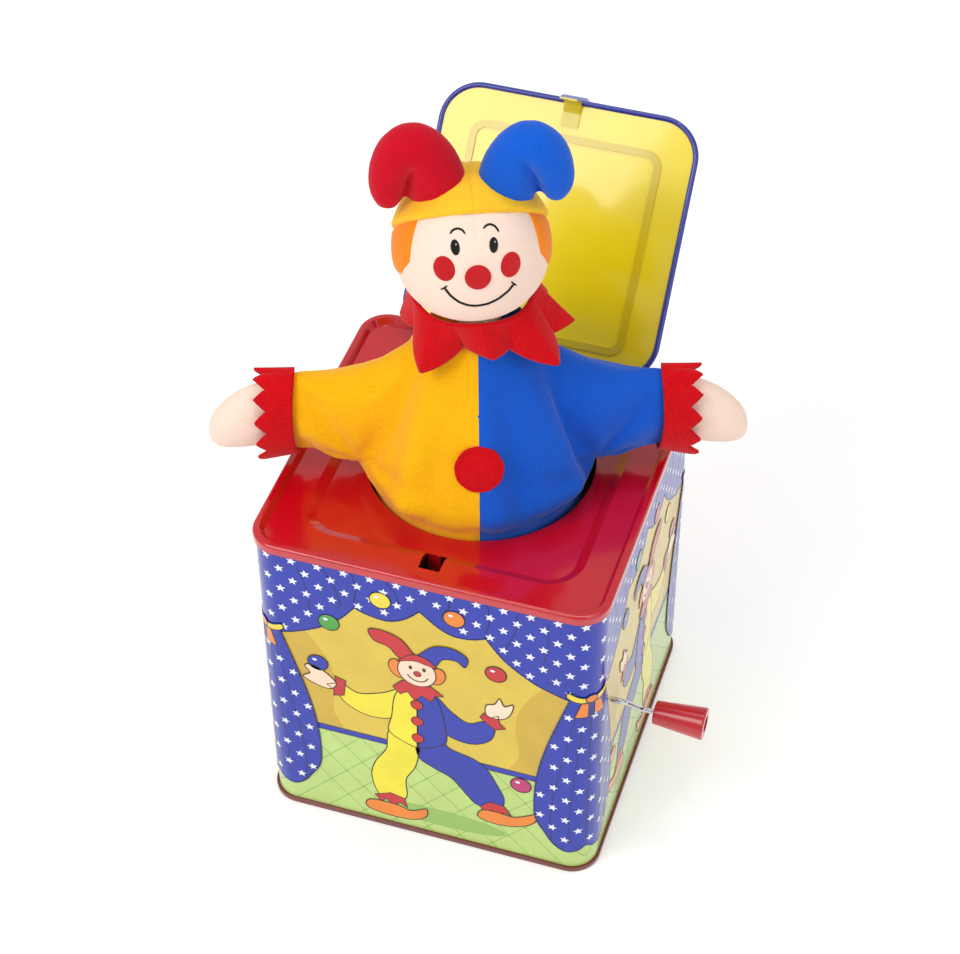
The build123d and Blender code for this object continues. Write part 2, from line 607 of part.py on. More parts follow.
# pressed cup that seats the spring on the bottom sheet
with BuildPart() as spring_cup:
    with BuildSketch(Plane.XY.offset(2.6)):
        Circle(22)
    extrude(amount=2.0)
    with BuildSketch(Plane.XY.offset(2.6)):
        Circle(15.6)
    extrude(amount=5.0)
    fillet(spring_cup.faces().sort_by(Axis.Z)[-1].edges(), 1.2)
    with BuildSketch(Plane.XY.offset(2.6)):
        Circle(14.4)
    extrude(amount=4.2, mode=Mode.SUBTRACT)
spring_cup.part.label = "spring_cup"
export_step(spring_cup.part, "parts/spring_cup.step")

# compression spring of round wire
with BuildPart() as spring:
    with BuildLine() as coil_path:
        Helix(pitch=(SPRING_Z1 - SPRING_Z0) / SPRING_TURNS, height=SPRING_Z1 - SPRING_Z0,
              radius=SPRING_R, center=(0, 0, SPRING_Z0))
    with BuildSketch(Plane(origin=coil_path.line @ 0, z_dir=coil_path.line % 0)) as coil_profile:
        Circle(SPRING_WIRE)
    sweep(sections=coil_profile.sketch, path=coil_path.line, is_frenet=True)
spring.part.label = "spring"
export_step(spring.part, "parts/spring.step")

# wire hoop in the robe's hem
with BuildPart() as robe_hoop:
    with BuildSketch(Plane(origin=(40.1, 0, 3.5), x_dir=(1, 0, 0), z_dir=(0, 1, 0))):
        Circle(0.9)
    revolve(axis=Axis.Z, revolution_arc=360)
robe_hoop.part.label = "robe_hoop"
export_step(robe_hoop.part, "parts/robe_hoop.step")

# robe body: stations of (height, half width, half depth), outside
ROBE = [(ROBE_Z0, 41.0, 41.0), (60.0, 41.0, 41.0), (153.0, 41.2, 41.2), (164.0, 44.6, 41.6),
        (180.0, 41.0, 36.0), (193.0, 35.0, 31.0), (205.0, 29.0, 26.0), (217.0, 22.5, 20.5), (NECK_Z, 17.5, 16.5)]


def robe_half(sign):
    with BuildPart() as half:
        for k in range(len(ROBE) - 1):
            z0, a0, b0 = ROBE[k]
            z1, a1, b1 = ROBE[k + 1]
            with BuildSketch(PUP.offset(z0)):
                Ellipse(a0, b0)
            with BuildSketch(PUP.offset(z1)):
                Ellipse(a1, b1)
            loft(ruled=True)
        for k in range(len(ROBE) - 1):
            z0, a0, b0 = ROBE[k]
            z1, a1, b1 = ROBE[k + 1]
            with BuildSketch(PUP.offset(z0)):
                Ellipse(a0 - ROBE_T, b0 - ROBE_T)
            with BuildSketch(PUP.offset(z1)):
                Ellipse(a1 - ROBE_T, b1 - ROBE_T)
            loft(ruled=True, mode=Mode.SUBTRACT)
        with BuildSketch(PUP.offset(ROBE_Z0 - 1)):
            with Locations((-sign * 50, 0)):
                Rectangle(100, 120)
        extrude(amount=260, mode=Mode.SUBTRACT)
    return half


robe_left = robe_half(-1)
robe_left.part.label = "robe_left"
export_step(robe_left.part, "parts/robe_left.step")

robe_right = robe_half(1)
robe_right.part.label = "robe_right"
export_step(robe_right.part, "parts/robe_right.step")

# felt button sewn to the robe's front
with BuildPart() as robe_button:
    with BuildSketch(Plane(origin=pup_point(0, -37.6, 180), x_dir=LAT,
                           z_dir=(-BACK * 0.93 + Vector(0, 0, 0.36)).normalized())):
        Circle(9.4)
    extrude(amount=1.4)
robe_button.part.label = "robe_button"
export_step(robe_button.part, "parts/robe_button.step")

# =========================== puppet ========================================

# turned plug: spring seat, neck and the core that the head is sewn around
with BuildPart() as neck_plug:
    with BuildSketch(Plane.XY.offset(216.0)):
        Circle(14.5)
    extrude(amount=7.0)
    with BuildSketch(Plane.XY.offset(223.0)):
        Circle(9.0)
    extrude(amount=24.0)
neck_plug.part.label = "neck_plug"
export_step(neck_plug.part, "parts/neck_plug.step")

HEAD = Plane(origin=pup_point(-2, 0, HEAD_Z), x_dir=LAT, z_dir=(0, 0, 1))

# stuffed head, hollow where the plug goes in
with BuildPart() as head:
    with Locations(Location(HEAD)):
        Sphere(HEAD_R)
    with BuildSketch(Plane.XY.offset(216)):
        Circle(9.0)
    extrude(amount=31.0, mode=Mode.SUBTRACT)
head.part.label = "head"
export_step(head.part, "parts/head.step")

HAT_TILT = math.radians(20)
hat_up = (BACK * math.sin(HAT_TILT) + Vector(0, 0, math.cos(HAT_TILT))).normalized()
HAT_CUT = Plane(origin=HEAD.origin + hat_up * 11.0, x_dir=LAT, z_dir=hat_up)

# sewn cap over the top of the head
with BuildPart() as hat_cap:
    with Locations(Location(HEAD)):
        Sphere(HEAD_R + 1.4)
        Sphere(HEAD_R, mode=Mode.SUBTRACT)
    split(bisect_by=HAT_CUT, keep=Keep.TOP)
hat_cap.part.label = "hat_cap"
export_step(hat_cap.part, "parts/hat_cap.step")

# hair at both sides and round the back of the head, below the cap
with BuildPart() as hair_band:
    with Locations(Location(HEAD)):
        Sphere(HEAD_R + 1.2)
        Sphere(HEAD_R, mode=Mode.SUBTRACT)
    split(bisect_by=HAT_CUT, keep=Keep.BOTTOM)
    split(bisect_by=Plane(origin=HEAD.origin - hat_up * 10.0, x_dir=LAT, z_dir=hat_up), keep=Keep.TOP)
    split(bisect_by=Plane(origin=HEAD.origin - BACK * 8.0, x_dir=LAT, z_dir=BACK), keep=Keep.TOP)
hair_band.part.label = "hair_band"
export_step(hair_band.part, "parts/hair_band.step")


def horn(stations):
    """A stuffed horn: round links of (lateral, back, height, radius), with a ball at each bend."""
    with BuildPart() as body:
        for k, ((u0, y0, z0, r0), (u1, y1, z1, r1)) in enumerate(zip(stations, stations[1:])):
            p0, p1 = pup_point(u0, y0, z0), pup_point(u1, y1, z1)
            link = (p1 - p0).normalized()
            with BuildSketch(Plane(origin=p0, x_dir=BACK, z_dir=link)):
                Circle(r0)
            with BuildSketch(Plane(origin=p1, x_dir=BACK, z_dir=link)):
                Circle(r1)
            loft(ruled=True)
            with Locations(Location(p1, (0, 0, 30 * k + 17))):
                Sphere(r1 + 0.1)
        with Locations(Location(HEAD)):
            Sphere(HEAD_R + 1.4, mode=Mode.SUBTRACT)
    return body


horn_red = horn([(-11.0, 1.0, 281.0, 12.4), (-18.5, 1.0, 299.0, 10.6), (-27.5, 1.0, 302.5, 8.6), (-34.0, 1.0, 291.5, 5.6)])
horn_red.part.label = "horn_red"
export_step(horn_red.part, "parts/horn_red.step")

horn_blue = horn([(8.0, 2.0, 281.0, 12.4), (13.5, 2.0, 300.0, 10.8), (22.5, 2.0, 303.0, 8.8), (29.0, 2.0, 292.0, 5.8)])
horn_blue.part.label = "horn_blue"
export_step(horn_blue.part, "parts/horn_blue.step")

# embroidered pad that stands up as the nose
with BuildPart() as nose:
    with BuildSketch(Plane(origin=HEAD.origin + (-BACK * 0.985 + Vector(0, 0, 0.17)).normalized() * 26.4,
                           x_dir=LAT, z_dir=(-BACK * 0.985 + Vector(0, 0, 0.17)).normalized())):
        Circle(5.0)
    extrude(amount=3.6)
    with Locations(Location(HEAD)):
        Sphere(HEAD_R, mode=Mode.SUBTRACT)
nose.part.label = "nose"
export_step(nose.part, "parts/nose.step")

# felt collar with points, round the neck
COLLAR_POINTS = 9
with BuildPart() as collar:
    with BuildSketch(PUP.offset(227.2)):
        with BuildLine():
            Polyline(*[((36.5 if k % 2 == 0 else 28.0) * math.cos(math.pi * (k + 0.5) / COLLAR_POINTS),
                        (33.0 if k % 2 == 0 else 25.0) * math.sin(math.pi * (k + 0.5) / COLLAR_POINTS))
                       for k in range(2 * COLLAR_POINTS)], close=True)
        make_face()
        Circle(9.0, mode=Mode.SUBTRACT)
    extrude(amount=2.2)
collar.part.label = "collar"
export_step(collar.part, "parts/collar.step")


# space that the robe body fills, with a little room round it
with BuildPart() as robe_room:
    for (z0, a0, b0), (z1, a1, b1) in zip(ROBE[2:], ROBE[3:]):
        with BuildSketch(PUP.offset(z0)):
            Ellipse(a0 + 0.35, b0 + 0.35)
        with BuildSketch(PUP.offset(z1)):
            Ellipse(a1 + 0.35, b1 + 0.35)
        loft(ruled=True)


def sleeve(side, name):
    """Flat kimono sleeve, cut to the robe's body: stations of (lateral, half height, half depth, middle height)."""
    with BuildPart() as body:
        stations = [(20.0, 22.0, 15.0, 193.0), (46.0, 22.5, 12.0, 184.5), (60.0, 20.0, 9.5, 183.0), (73.0, 19.0, 7.5, 181.5)]
        for (u0, hh0, hd0, zc0), (u1, hh1, hd1, zc1) in zip(stations, stations[1:]):
            with BuildSketch(Plane(origin=pup_point(side * u0, 0, zc0), x_dir=BACK, z_dir=LAT * side)):
                Ellipse(hd0, hh0)
            with BuildSketch(Plane(origin=pup_point(side * u1, 0, zc1), x_dir=BACK, z_dir=LAT * side)):
                Ellipse(hd1, hh1)
            loft(ruled=True)
        add(robe_room.part, mode=Mode.SUBTRACT)
    body.part.label = name
    export_step(body.part, "parts/" + name + ".step")
    return body


def cuff(side, name):
    """Felt cuff, a short flared band."""
    with BuildPart() as body:
        for u, hh, hd, zc in [(73.4, 20.0, 8.4, 181.5), (86.0, 17.0, 9.0, 176.0)]:
            with BuildSketch(Plane(origin=pup_point(side * u, 0, zc), x_dir=BACK, z_dir=LAT * side)):
                Ellipse(hd, hh)
        loft(ruled=True)
        for u, hh, hd, zc in [(77.0, 11.0, 6.0, 178.5), (86.2, 12.0, 7.0, 175.5)]:
            with BuildSketch(Plane(origin=pup_point(side * u, 0, zc), x_dir=BACK, z_dir=LAT * side)):
                Ellipse(hd, hh)
        loft(ruled=True, mode=Mode.SUBTRACT)
    body.part.label = name
    export_step(body.part, "parts/" + name + ".step")
    return body


def hand(side, name):
    """Stuffed mitt."""
    with BuildPart() as body:
        for u, hh, hd, zc in [(77.3, 10.4, 5.6, 178.5), (86.2, 11.6, 6.6, 175.5), (95.0, 11.5, 6.5, 171.5),
                              (101.0, 8.0, 5.0, 169.0), (104.0, 3.0, 2.4, 168.0)]:
            with BuildSketch(Plane(origin=pup_point(side * u, 0, zc), x_dir=BACK, z_dir=LAT * side)):
                Ellipse(hd, hh)
        loft(ruled=True)
    body.part.label = name
    export_step(body.part, "parts/" + name + ".step")
    return body


sleeve_left = sleeve(-1, "sleeve_left")
sleeve_right = sleeve(1, "sleeve_right")
cuff_left = cuff(-1, "cuff_left")
cuff_right = cuff(1, "cuff_right")
hand_left = hand(-1, "hand_left")
hand_right = hand(1, "hand_right")
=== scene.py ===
"""Looks of the jack in the box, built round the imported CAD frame. Lengths below are in millimetres and become metres when a mesh is made."""
import math
import random

import bmesh
import bpy
import numpy as np
from mathutils import Matrix, Vector
from mathutils.geometry import tessellate_polygon


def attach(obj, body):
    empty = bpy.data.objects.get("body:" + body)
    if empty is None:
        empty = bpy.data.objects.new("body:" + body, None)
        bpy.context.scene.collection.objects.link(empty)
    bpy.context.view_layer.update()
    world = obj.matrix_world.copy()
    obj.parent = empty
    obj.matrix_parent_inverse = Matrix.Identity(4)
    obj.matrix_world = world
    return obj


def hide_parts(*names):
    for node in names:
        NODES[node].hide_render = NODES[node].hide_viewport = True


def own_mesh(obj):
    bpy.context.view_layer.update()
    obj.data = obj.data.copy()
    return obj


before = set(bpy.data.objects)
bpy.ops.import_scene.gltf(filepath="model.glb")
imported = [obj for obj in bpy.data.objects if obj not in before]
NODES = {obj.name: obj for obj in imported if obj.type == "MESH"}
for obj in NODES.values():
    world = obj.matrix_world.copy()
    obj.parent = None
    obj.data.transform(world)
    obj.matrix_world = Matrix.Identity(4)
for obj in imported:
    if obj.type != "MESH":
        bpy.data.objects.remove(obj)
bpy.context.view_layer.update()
MM = 0.001
rng = random.Random(7)
nrng = np.random.default_rng(7)

YAW = math.radians(18.6)
LAT = np.array([math.cos(YAW), math.sin(YAW), 0.0])
BACK = np.array([-math.sin(YAW), math.cos(YAW), 0.0])
UP = np.array([0.0, 0.0, 1.0])
HEAD = LAT * -2 + UP * 261.0
HEAD_R = 28.6
_hy, _hp, _hr = math.radians(23.6), math.radians(21.0), math.radians(0.0)
HX = np.array([math.cos(_hy), math.sin(_hy), 0.0])
_hb = np.array([-math.sin(_hy), math.cos(_hy), 0.0])
HF = -_hb * math.cos(_hp) + UP * math.sin(_hp)
HU = UP * math.cos(_hp) + _hb * math.sin(_hp)


def pup(u, y, z):
    return LAT * u + BACK * y + UP * z


# ---------------------------------------------------------------- materials
def nt(name):
    m = bpy.data.materials.new(name)
    m.use_nodes = True
    t = m.node_tree
    b = t.nodes["Principled BSDF"]
    return m, t, b


def coords(t, scale=1.0):
    c = t.nodes.new("ShaderNodeTexCoord")
    mp = t.nodes.new("ShaderNodeMapping")
    s = scale if hasattr(scale, "__len__") else (scale,) * 3
    mp.inputs["Scale"].default_value = s
    t.links.new(c.outputs["Object"], mp.inputs["Vector"])
    return mp.outputs["Vector"]


def noise(t, scale, detail=3.0, rough=0.5, vec=None):
    n = t.nodes.new("ShaderNodeTexNoise")
    n.inputs["Scale"].default_value = scale
    n.inputs["Detail"].default_value = detail
    n.inputs["Roughness"].default_value = rough
    t.links.new(vec if vec is not None else coords(t), n.inputs["Vector"])
    return n.outputs["Fac"]


def ramp(t, fac, stops):
    r = t.nodes.new("ShaderNodeValToRGB")
    while len(r.color_ramp.elements) < len(stops):
        r.color_ramp.elements.new(0.5)
    for e, (p, c) in zip(r.color_ramp.elements, stops):
        e.position = p
        e.color = (*c, 1.0) if len(c) == 3 else c
    t.links.new(fac, r.inputs["Fac"])
    return r.outputs["Color"]


def mixc(t, fac, a, b):
    m = t.nodes.new("ShaderNodeMix")
    m.data_type = "RGBA"
    for s, v in ((m.inputs[0], fac), (m.inputs[6], a), (m.inputs[7], b)):
        if hasattr(v, "links"):
            t.links.new(v, s)
        else:
            s.default_value = v if not hasattr(v, "__len__") else (*v, 1.0)[:4]
    return m.outputs[2]


def mathn(t, op, a, b=0.0, clamp=False):
    m = t.nodes.new("ShaderNodeMath")
    m.operation = op
    m.use_clamp = clamp
    for s, v in ((m.inputs[0], a), (m.inputs[1], b)):
        if hasattr(v, "links"):
            t.links.new(v, s)
        else:
            s.default_value = v
    return m.outputs[0]


def bump(t, bsdf, height, dist, strength=1.0, chain=None):
    b = t.nodes.new("ShaderNodeBump")
    b.inputs["Strength"].default_value = strength
    b.inputs["Distance"].default_value = dist
    t.links.new(height, b.inputs["Height"])
    if chain is not None:
        t.links.new(chain, b.inputs["Normal"])
    t.links.new(b.outputs["Normal"], bsdf.inputs["Normal"])
    return b.outputs["Normal"]


def srgb(r, g, b):
    f = lambda c: (c / 255 / 12.92) if c <= 10 else ((c / 255 + 0.055) / 1.055) ** 2.4
    return (f(r), f(g), f(b))


def shade(c, k):
    return tuple(min(1.0, x * k) for x in c)


def tin(name, rgb, rough=0.2, coat=0.55, wear=0.05, waves=0.10):
    """Lacquered printed tin: slight unevenness of ink, a faint dulling, the sheet's soft waves and fine scratches."""
    m, t, b = nt(name)
    n1 = noise(t, 22, 4, 0.6)
    col = ramp(t, n1, [(0.25, shade(rgb, 1 - wear * 2)), (0.55, rgb), (0.9, shade(rgb, 1 + wear))])
    t.links.new(col, b.inputs["Base Color"])
    n2 = noise(t, 90, 3, 0.6)
    r = t.nodes.new("ShaderNodeMapRange")
    r.inputs["To Min"].default_value = rough * 0.75
    r.inputs["To Max"].default_value = rough * 1.35
    t.links.new(n2, r.inputs["Value"])
    t.links.new(r.outputs["Result"], b.inputs["Roughness"])
    b.inputs["Coat Weight"].default_value = coat
    b.inputs["Coat Roughness"].default_value = 0.08
    b.inputs["Specular IOR Level"].default_value = 0.5
    w = bump(t, b, noise(t, 9, 1, 0.4), 0.001 * waves * 6, 0.35)
    bump(t, b, noise(t, 1, 2, 0.7, coords(t, (900, 60, 900))), 0.00002, 0.25, w)
    return m


def metal(name, rgb, rough=0.3, stretch=(60, 1600, 1600)):
    m, t, b = nt(name)
    n = noise(t, 1, 3, 0.6, coords(t, stretch))
    t.links.new(ramp(t, n, [(0.2, shade(rgb, 0.78)), (0.8, shade(rgb, 1.1))]), b.inputs["Base Color"])
    b.inputs["Metallic"].default_value = 1.0
    r = t.nodes.new("ShaderNodeMapRange")
    r.inputs["To Min"].default_value = rough * 0.7
    r.inputs["To Max"].default_value = rough * 1.4
    t.links.new(noise(t, 300, 3, 0.6), r.inputs["Value"])
    t.links.new(r.outputs["Result"], b.inputs["Roughness"])
    bump(t, b, n, 0.00002, 0.3)
    return m


def plush(name, rgb, deep=0.86, pale=1.08, pile=1300, grain=0.00026, sheen=0.35, mottle=0.2):
    """Short-pile toy fabric: knit rows, a fine nap that catches light, and soft mottling where the pile lies different ways."""
    m, t, b = nt(name)
    v = coords(t)
    big = noise(t, 130, 4, 0.65, v)
    fine = noise(t, pile, 2, 0.6, v)
    mixed = mathn(t, "ADD", mathn(t, "MULTIPLY", big, mottle), mathn(t, "MULTIPLY", fine, 1 - mottle))
    col = ramp(t, mixed, [(0.30, shade(rgb, deep)), (0.5, rgb), (0.72, shade(rgb, pale))])
    t.links.new(col, b.inputs["Base Color"])
    b.inputs["Roughness"].default_value = 0.92
    b.inputs["Specular IOR Level"].default_value = 0.15
    b.inputs["Sheen Weight"].default_value = sheen
    b.inputs["Sheen Roughness"].default_value = 0.45
    b.inputs["Sheen Tint"].default_value = (*[0.5 + 0.5 * min(1, x * 1.2) for x in rgb], 1)
    w = t.nodes.new("ShaderNodeTexWave")
    w.bands_direction = "Z"
    w.inputs["Scale"].default_value = 300
    w.inputs["Distortion"].default_value = 1.2
    w.inputs["Detail"].default_value = 1.0
    t.links.new(v, w.inputs["Vector"])
    n = bump(t, b, w.outputs["Fac"], 0.00006, 0.25)
    n = bump(t, b, fine, grain, 0.6, n)
    bump(t, b, big, 0.0004, 0.35, n)
    return m


def felt(name, rgb, grain=0.0003):
    return plush(name, rgb, deep=0.74, pale=1.16, pile=1000, grain=grain, sheen=0.22, mottle=0.25)


def thread(name, rgb, direction="X", scale=900):
    """Satin-stitched thread: fine parallel strands with a slight silk shine."""
    m, t, b = nt(name)
    v = coords(t)
    w = t.nodes.new("ShaderNodeTexWave")
    w.bands_direction = direction
    w.inputs["Scale"].default_value = scale
    w.inputs["Distortion"].default_value = 2.0
    w.inputs["Detail"].default_value = 2.0
    t.links.new(v, w.inputs["Vector"])
    col = ramp(t, w.outputs["Fac"], [(0.15, shade(rgb, 0.6)), (0.6, rgb), (0.95, shade(rgb, 1.3))])
    t.links.new(col, b.inputs["Base Color"])
    b.inputs["Roughness"].default_value = 0.55
    b.inputs["Specular IOR Level"].default_value = 0.3
    b.inputs["Sheen Weight"].default_value = 0.0
    bump(t, b, w.outputs["Fac"], 0.00015, 0.8)
    return m


def ink(name, rgb, rough=0.22):
    """Printed colour under lacquer."""
    m, t, b = nt(name)
    n = noise(t, 60, 3, 0.6)
    t.links.new(ramp(t, n, [(0.3, shade(rgb, 0.93)), (0.7, shade(rgb, 1.05))]), b.inputs["Base Color"])
    b.inputs["Roughness"].default_value = rough
    b.inputs["Coat Weight"].default_value = 0.3
    b.inputs["Coat Roughness"].default_value = 0.12
    b.inputs["Specular IOR Level"].default_value = 0.35
    bump(t, b, noise(t, 9, 1, 0.4), 0.0006, 0.35)
    return m


C_RED = srgb(196, 8, 26)
C_YEL = srgb(228, 208, 12)
M = {
    "tin_red": tin("tin_red", C_RED, 0.18, 0.7),
    "tin_brown": tin("tin_brown", srgb(118, 48, 40), 0.3, 0.4),
    "tin_blue": tin("tin_blue", srgb(34, 48, 150), 0.22, 0.6),
    "tin_print": tin("tin_print", srgb(224, 200, 84), 0.22, 0.5),
    "tin_plain": metal("tin_plain", (0.74, 0.74, 0.72), 0.32),
    "steel": metal("steel", (0.60, 0.60, 0.62), 0.22),
    "spring_steel": metal("spring_steel", (0.46, 0.46, 0.48), 0.28),
    "brass": metal("brass", (0.78, 0.58, 0.25), 0.26),
    "plush_yellow": plush("plush_yellow", srgb(252, 184, 8)),
    "cap_yellow": plush("cap_yellow", srgb(252, 196, 44)),
    "plush_blue": plush("plush_blue", srgb(20, 88, 200)),
    "plush_red": plush("plush_red", srgb(200, 6, 34), sheen=0.2),
    "horn_blue": plush("horn_blue_cloth", srgb(16, 92, 206)),
    "plush_skin": plush("plush_skin", srgb(250, 222, 204), 0.95, 1.03, sheen=0.2),
    "plush_orange": plush("plush_orange", srgb(255, 138, 22), 0.85, 1.1),
    "felt_red": felt("felt_red", srgb(206, 4, 18)),
    "thread_black": thread("thread_black", (0.004, 0.004, 0.005), "X"),
    "thread_red": thread("thread_red", srgb(214, 10, 22), "X"),
    "painted_glint_white": thread("painted_glint_white", (0.85, 0.85, 0.85), "X"),
}


def knob_paint():
    m, t, b = nt("knob_paint")
    n = noise(t, 40, 4, 0.6)
    t.links.new(ramp(t, n, [(0.3, shade(srgb(200, 14, 30), 0.85)), (0.6, srgb(204, 16, 32)), (0.9, shade(srgb(214, 30, 40), 1.1))]), b.inputs["Base Color"])
    b.inputs["Roughness"].default_value = 0.26
    b.inputs["Coat Weight"].default_value = 0.6
    b.inputs["Coat Roughness"].default_value = 0.12
    bump(t, b, noise(t, 1, 3, 0.6, coords(t, (80, 500, 500))), 0.00012, 0.35)
    return m


def lid_paint():
    """The lid's sheet: yellow lacquer on the inner face, red on the outer one; the embossed ridge gets a darker yellow,
    a painted reflection of the dark surroundings.
    """
    m, t, b = nt("lid_paint")
    c = t.nodes.new("ShaderNodeTexCoord")
    d = t.nodes.new("ShaderNodeVectorMath")
    d.operation = "DOT_PRODUCT"
    t.links.new(c.outputs["Object"], d.inputs[0])
    nrm = (0.0, -0.757, 0.6534)
    d.inputs[1].default_value = nrm
    off = 0.0565 * nrm[1] + 0.1543 * nrm[2]
    side = mathn(t, "GREATER_THAN", d.outputs["Value"], off)
    n1 = noise(t, 16, 3, 0.55)
    yel = ramp(t, n1, [(0.25, shade(srgb(234, 208, 4), 0.93)), (0.55, srgb(238, 214, 8)), (0.9, srgb(242, 222, 24))])
    # painted reflection: the embossed ridge is made darker yellow to stand for the dark surroundings mirrored in it
    ridge = mathn(t, "GREATER_THAN", d.outputs["Value"], off + 0.00045)
    yel = mixc(t, ridge, yel, srgb(206, 182, 0))
    t.links.new(mixc(t, side, C_RED, yel), b.inputs["Base Color"])
    b.inputs["Roughness"].default_value = 0.2
    b.inputs["Coat Weight"].default_value = 0.7
    b.inputs["Coat Roughness"].default_value = 0.06
    w = bump(t, b, noise(t, 11, 1, 0.4), 0.0009, 0.4)
    bump(t, b, noise(t, 1, 2, 0.7, coords(t, (60, 900, 900))), 0.00002, 0.25, w)
    return m


def wood():
    m, t, b = nt("turned_wood")
    n = noise(t, 1, 4, 0.6, coords(t, (900, 900, 60)))
    t.links.new(ramp(t, n, [(0.3, (0.45, 0.29, 0.15)), (0.7, (0.66, 0.47, 0.27))]), b.inputs["Base Color"])
    b.inputs["Roughness"].default_value = 0.55
    bump(t, b, n, 0.0001, 0.4)
    return m


M["tab_yellow"] = tin("tab_yellow", srgb(214, 196, 10), 0.25, 0.5)
M["knob_red"] = knob_paint()
M["tin_yellow"] = lid_paint()
M["turned_wood"] = wood()

CAD_LOOKS = {
    "wall_shell": "tin_print", "bottom_rim": "tin_brown", "top_rim": "tin_red", "top_panel": "tin_red",
    "bottom_panel": "tin_plain", "hinge_leaf": "tin_red", "lid_panel": "tin_yellow", "lid_rim": "tin_blue",
    "catch_tab": "tab_yellow", "lid_hinge_leaf": "tin_red", "crank_knob": "knob_red", "neck_plug": "turned_wood",
    "spring": "spring_steel", "spring_cup": "tin_plain", "robe_hoop": "spring_steel", "cylinder_gear": "brass",
    "pin_cylinder": "brass", "crank_pinion": "brass", "crank_bush": "brass", "comb": "steel",
    "trip_cam": "brass",
}
for name, node in NODES.items():
    mat = M[CAD_LOOKS.get(name, "steel")]
    if node.data.materials:
        for i in range(len(node.data.materials)):
            node.data.materials[i] = mat
    else:
        node.data.materials.append(mat)


# ---------------------------------------------------------------- mesh helpers
def make(name, verts, faces, mats, index=None, smooth=True):
    """verts in mm."""
    me = bpy.data.meshes.new(name)
    v = np.asarray(verts, float) * MM
    me.from_pydata(v.tolist(), [], [list(map(int, f)) for f in faces])
    for m in mats if isinstance(mats, (list, tuple)) else [mats]:
        me.materials.append(m)
    if index is not None:
        me.polygons.foreach_set("material_index", np.asarray(index, np.int32))
    me.polygons.foreach_set("use_smooth", [smooth] * len(me.polygons))
    me.update()
    o = bpy.data.objects.new(name, me)
    bpy.context.scene.collection.objects.link(o)
    return o


def rings(rs, cap=True):
    """Vertices and faces of a skin over rings of equal count."""
    n = len(rs[0])
    v = [p for r in rs for p in r]
    f = []
    for i in range(len(rs) - 1):
        for k in range(n):
            a, b = i * n + k, i * n + (k + 1) % n
            f.append((a, b, b + n, a + n))
    if cap:
        v.append(np.mean(rs[0], axis=0))
        v.append(np.mean(rs[-1], axis=0))
        c0, c1 = len(v) - 2, len(v) - 1
        for k in range(n):
            f.append((c0, (k + 1) % n, k))
            f.append((c1, (len(rs) - 1) * n + k, (len(rs) - 1) * n + (k + 1) % n))
    return v, f


def remeshed(name, parts, voxel, smooth_steps=6):
    """One closed skin over several closed shapes given as (verts, faces) in mm; returned as (verts mm, faces)."""
    vs, fs = [], []
    for v, f in parts:
        base = len(vs)
        vs += list(v)
        fs += [tuple(i + base for i in q) for q in f]
    me = bpy.data.meshes.new(name + "_raw")
    me.from_pydata([tuple(float(x) * 0.1 for x in p) for p in vs], [], fs)  # worked on at a hundred times size, where voxel sizes are well behaved
    o = bpy.data.objects.new(name + "_raw", me)
    bpy.context.scene.collection.objects.link(o)
    md = o.modifiers.new("r", "REMESH")
    md.mode = "VOXEL"
    md.voxel_size = voxel * 0.1
    md.adaptivity = 0.0
    if smooth_steps:
        s = o.modifiers.new("s", "SMOOTH")
        s.factor = 0.5
        s.iterations = smooth_steps
    dg = bpy.context.evaluated_depsgraph_get()
    ev = o.evaluated_get(dg)
    m2 = bpy.data.meshes.new_from_object(ev)
    v = np.empty(len(m2.vertices) * 3)
    m2.vertices.foreach_get("co", v)
    v = v.reshape(-1, 3) * 10
    f = [tuple(p.vertices) for p in m2.polygons]
    bpy.data.objects.remove(o)
    bpy.data.meshes.remove(m2)
    return v, f


def simulate(v, f, pins, frames=18, pressure=0.0, shrink=0.0, cap=3.0, gravity=0.0, mass=0.2, bend=0.4, tension=12):
    """Cloth over a closed skin, run at ten times size and capped: returns the new vertices in mm. pins is 0..1 per vertex."""
    me = bpy.data.meshes.new("sim")
    me.from_pydata((v * 0.01).tolist(), [], f)
    o = bpy.data.objects.new("sim", me)
    sc = bpy.context.scene
    sc.collection.objects.link(o)
    g = o.vertex_groups.new(name="pin")
    for i, w in enumerate(pins):
        if w > 0:
            g.add([i], float(w), "REPLACE")
    c = o.modifiers.new("cloth", "CLOTH")
    s = c.settings
    s.quality = 6
    s.mass = mass
    s.tension_stiffness = tension
    s.compression_stiffness = tension
    s.shear_stiffness = tension * 0.5
    s.bending_stiffness = bend
    s.vertex_group_mass = "pin"
    s.shrink_min = shrink
    s.effector_weights.gravity = gravity
    if pressure:
        s.use_pressure = True
        s.uniform_pressure_force = pressure
    c.collision_settings.use_self_collision = False
    c.collision_settings.use_collision = False
    c.point_cache.frame_start = 1
    c.point_cache.frame_end = frames
    for fr in range(1, frames + 1):
        sc.frame_set(fr)
    dg = bpy.context.evaluated_depsgraph_get()
    m2 = o.evaluated_get(dg).to_mesh()
    w = np.empty(len(m2.vertices) * 3)
    m2.vertices.foreach_get("co", w)
    w = w.reshape(-1, 3) * 100
    o.evaluated_get(dg).to_mesh_clear()
    bpy.data.objects.remove(o)
    sc.frame_set(1)
    d = w - v
    bad = ~np.isfinite(d).all(axis=1)
    d[bad] = 0
    ln = np.linalg.norm(d, axis=1)
    k = np.where(ln > 1e-9, cap * np.tanh(ln / cap) / np.maximum(ln, 1e-9), 0)
    return v + d * k[:, None]


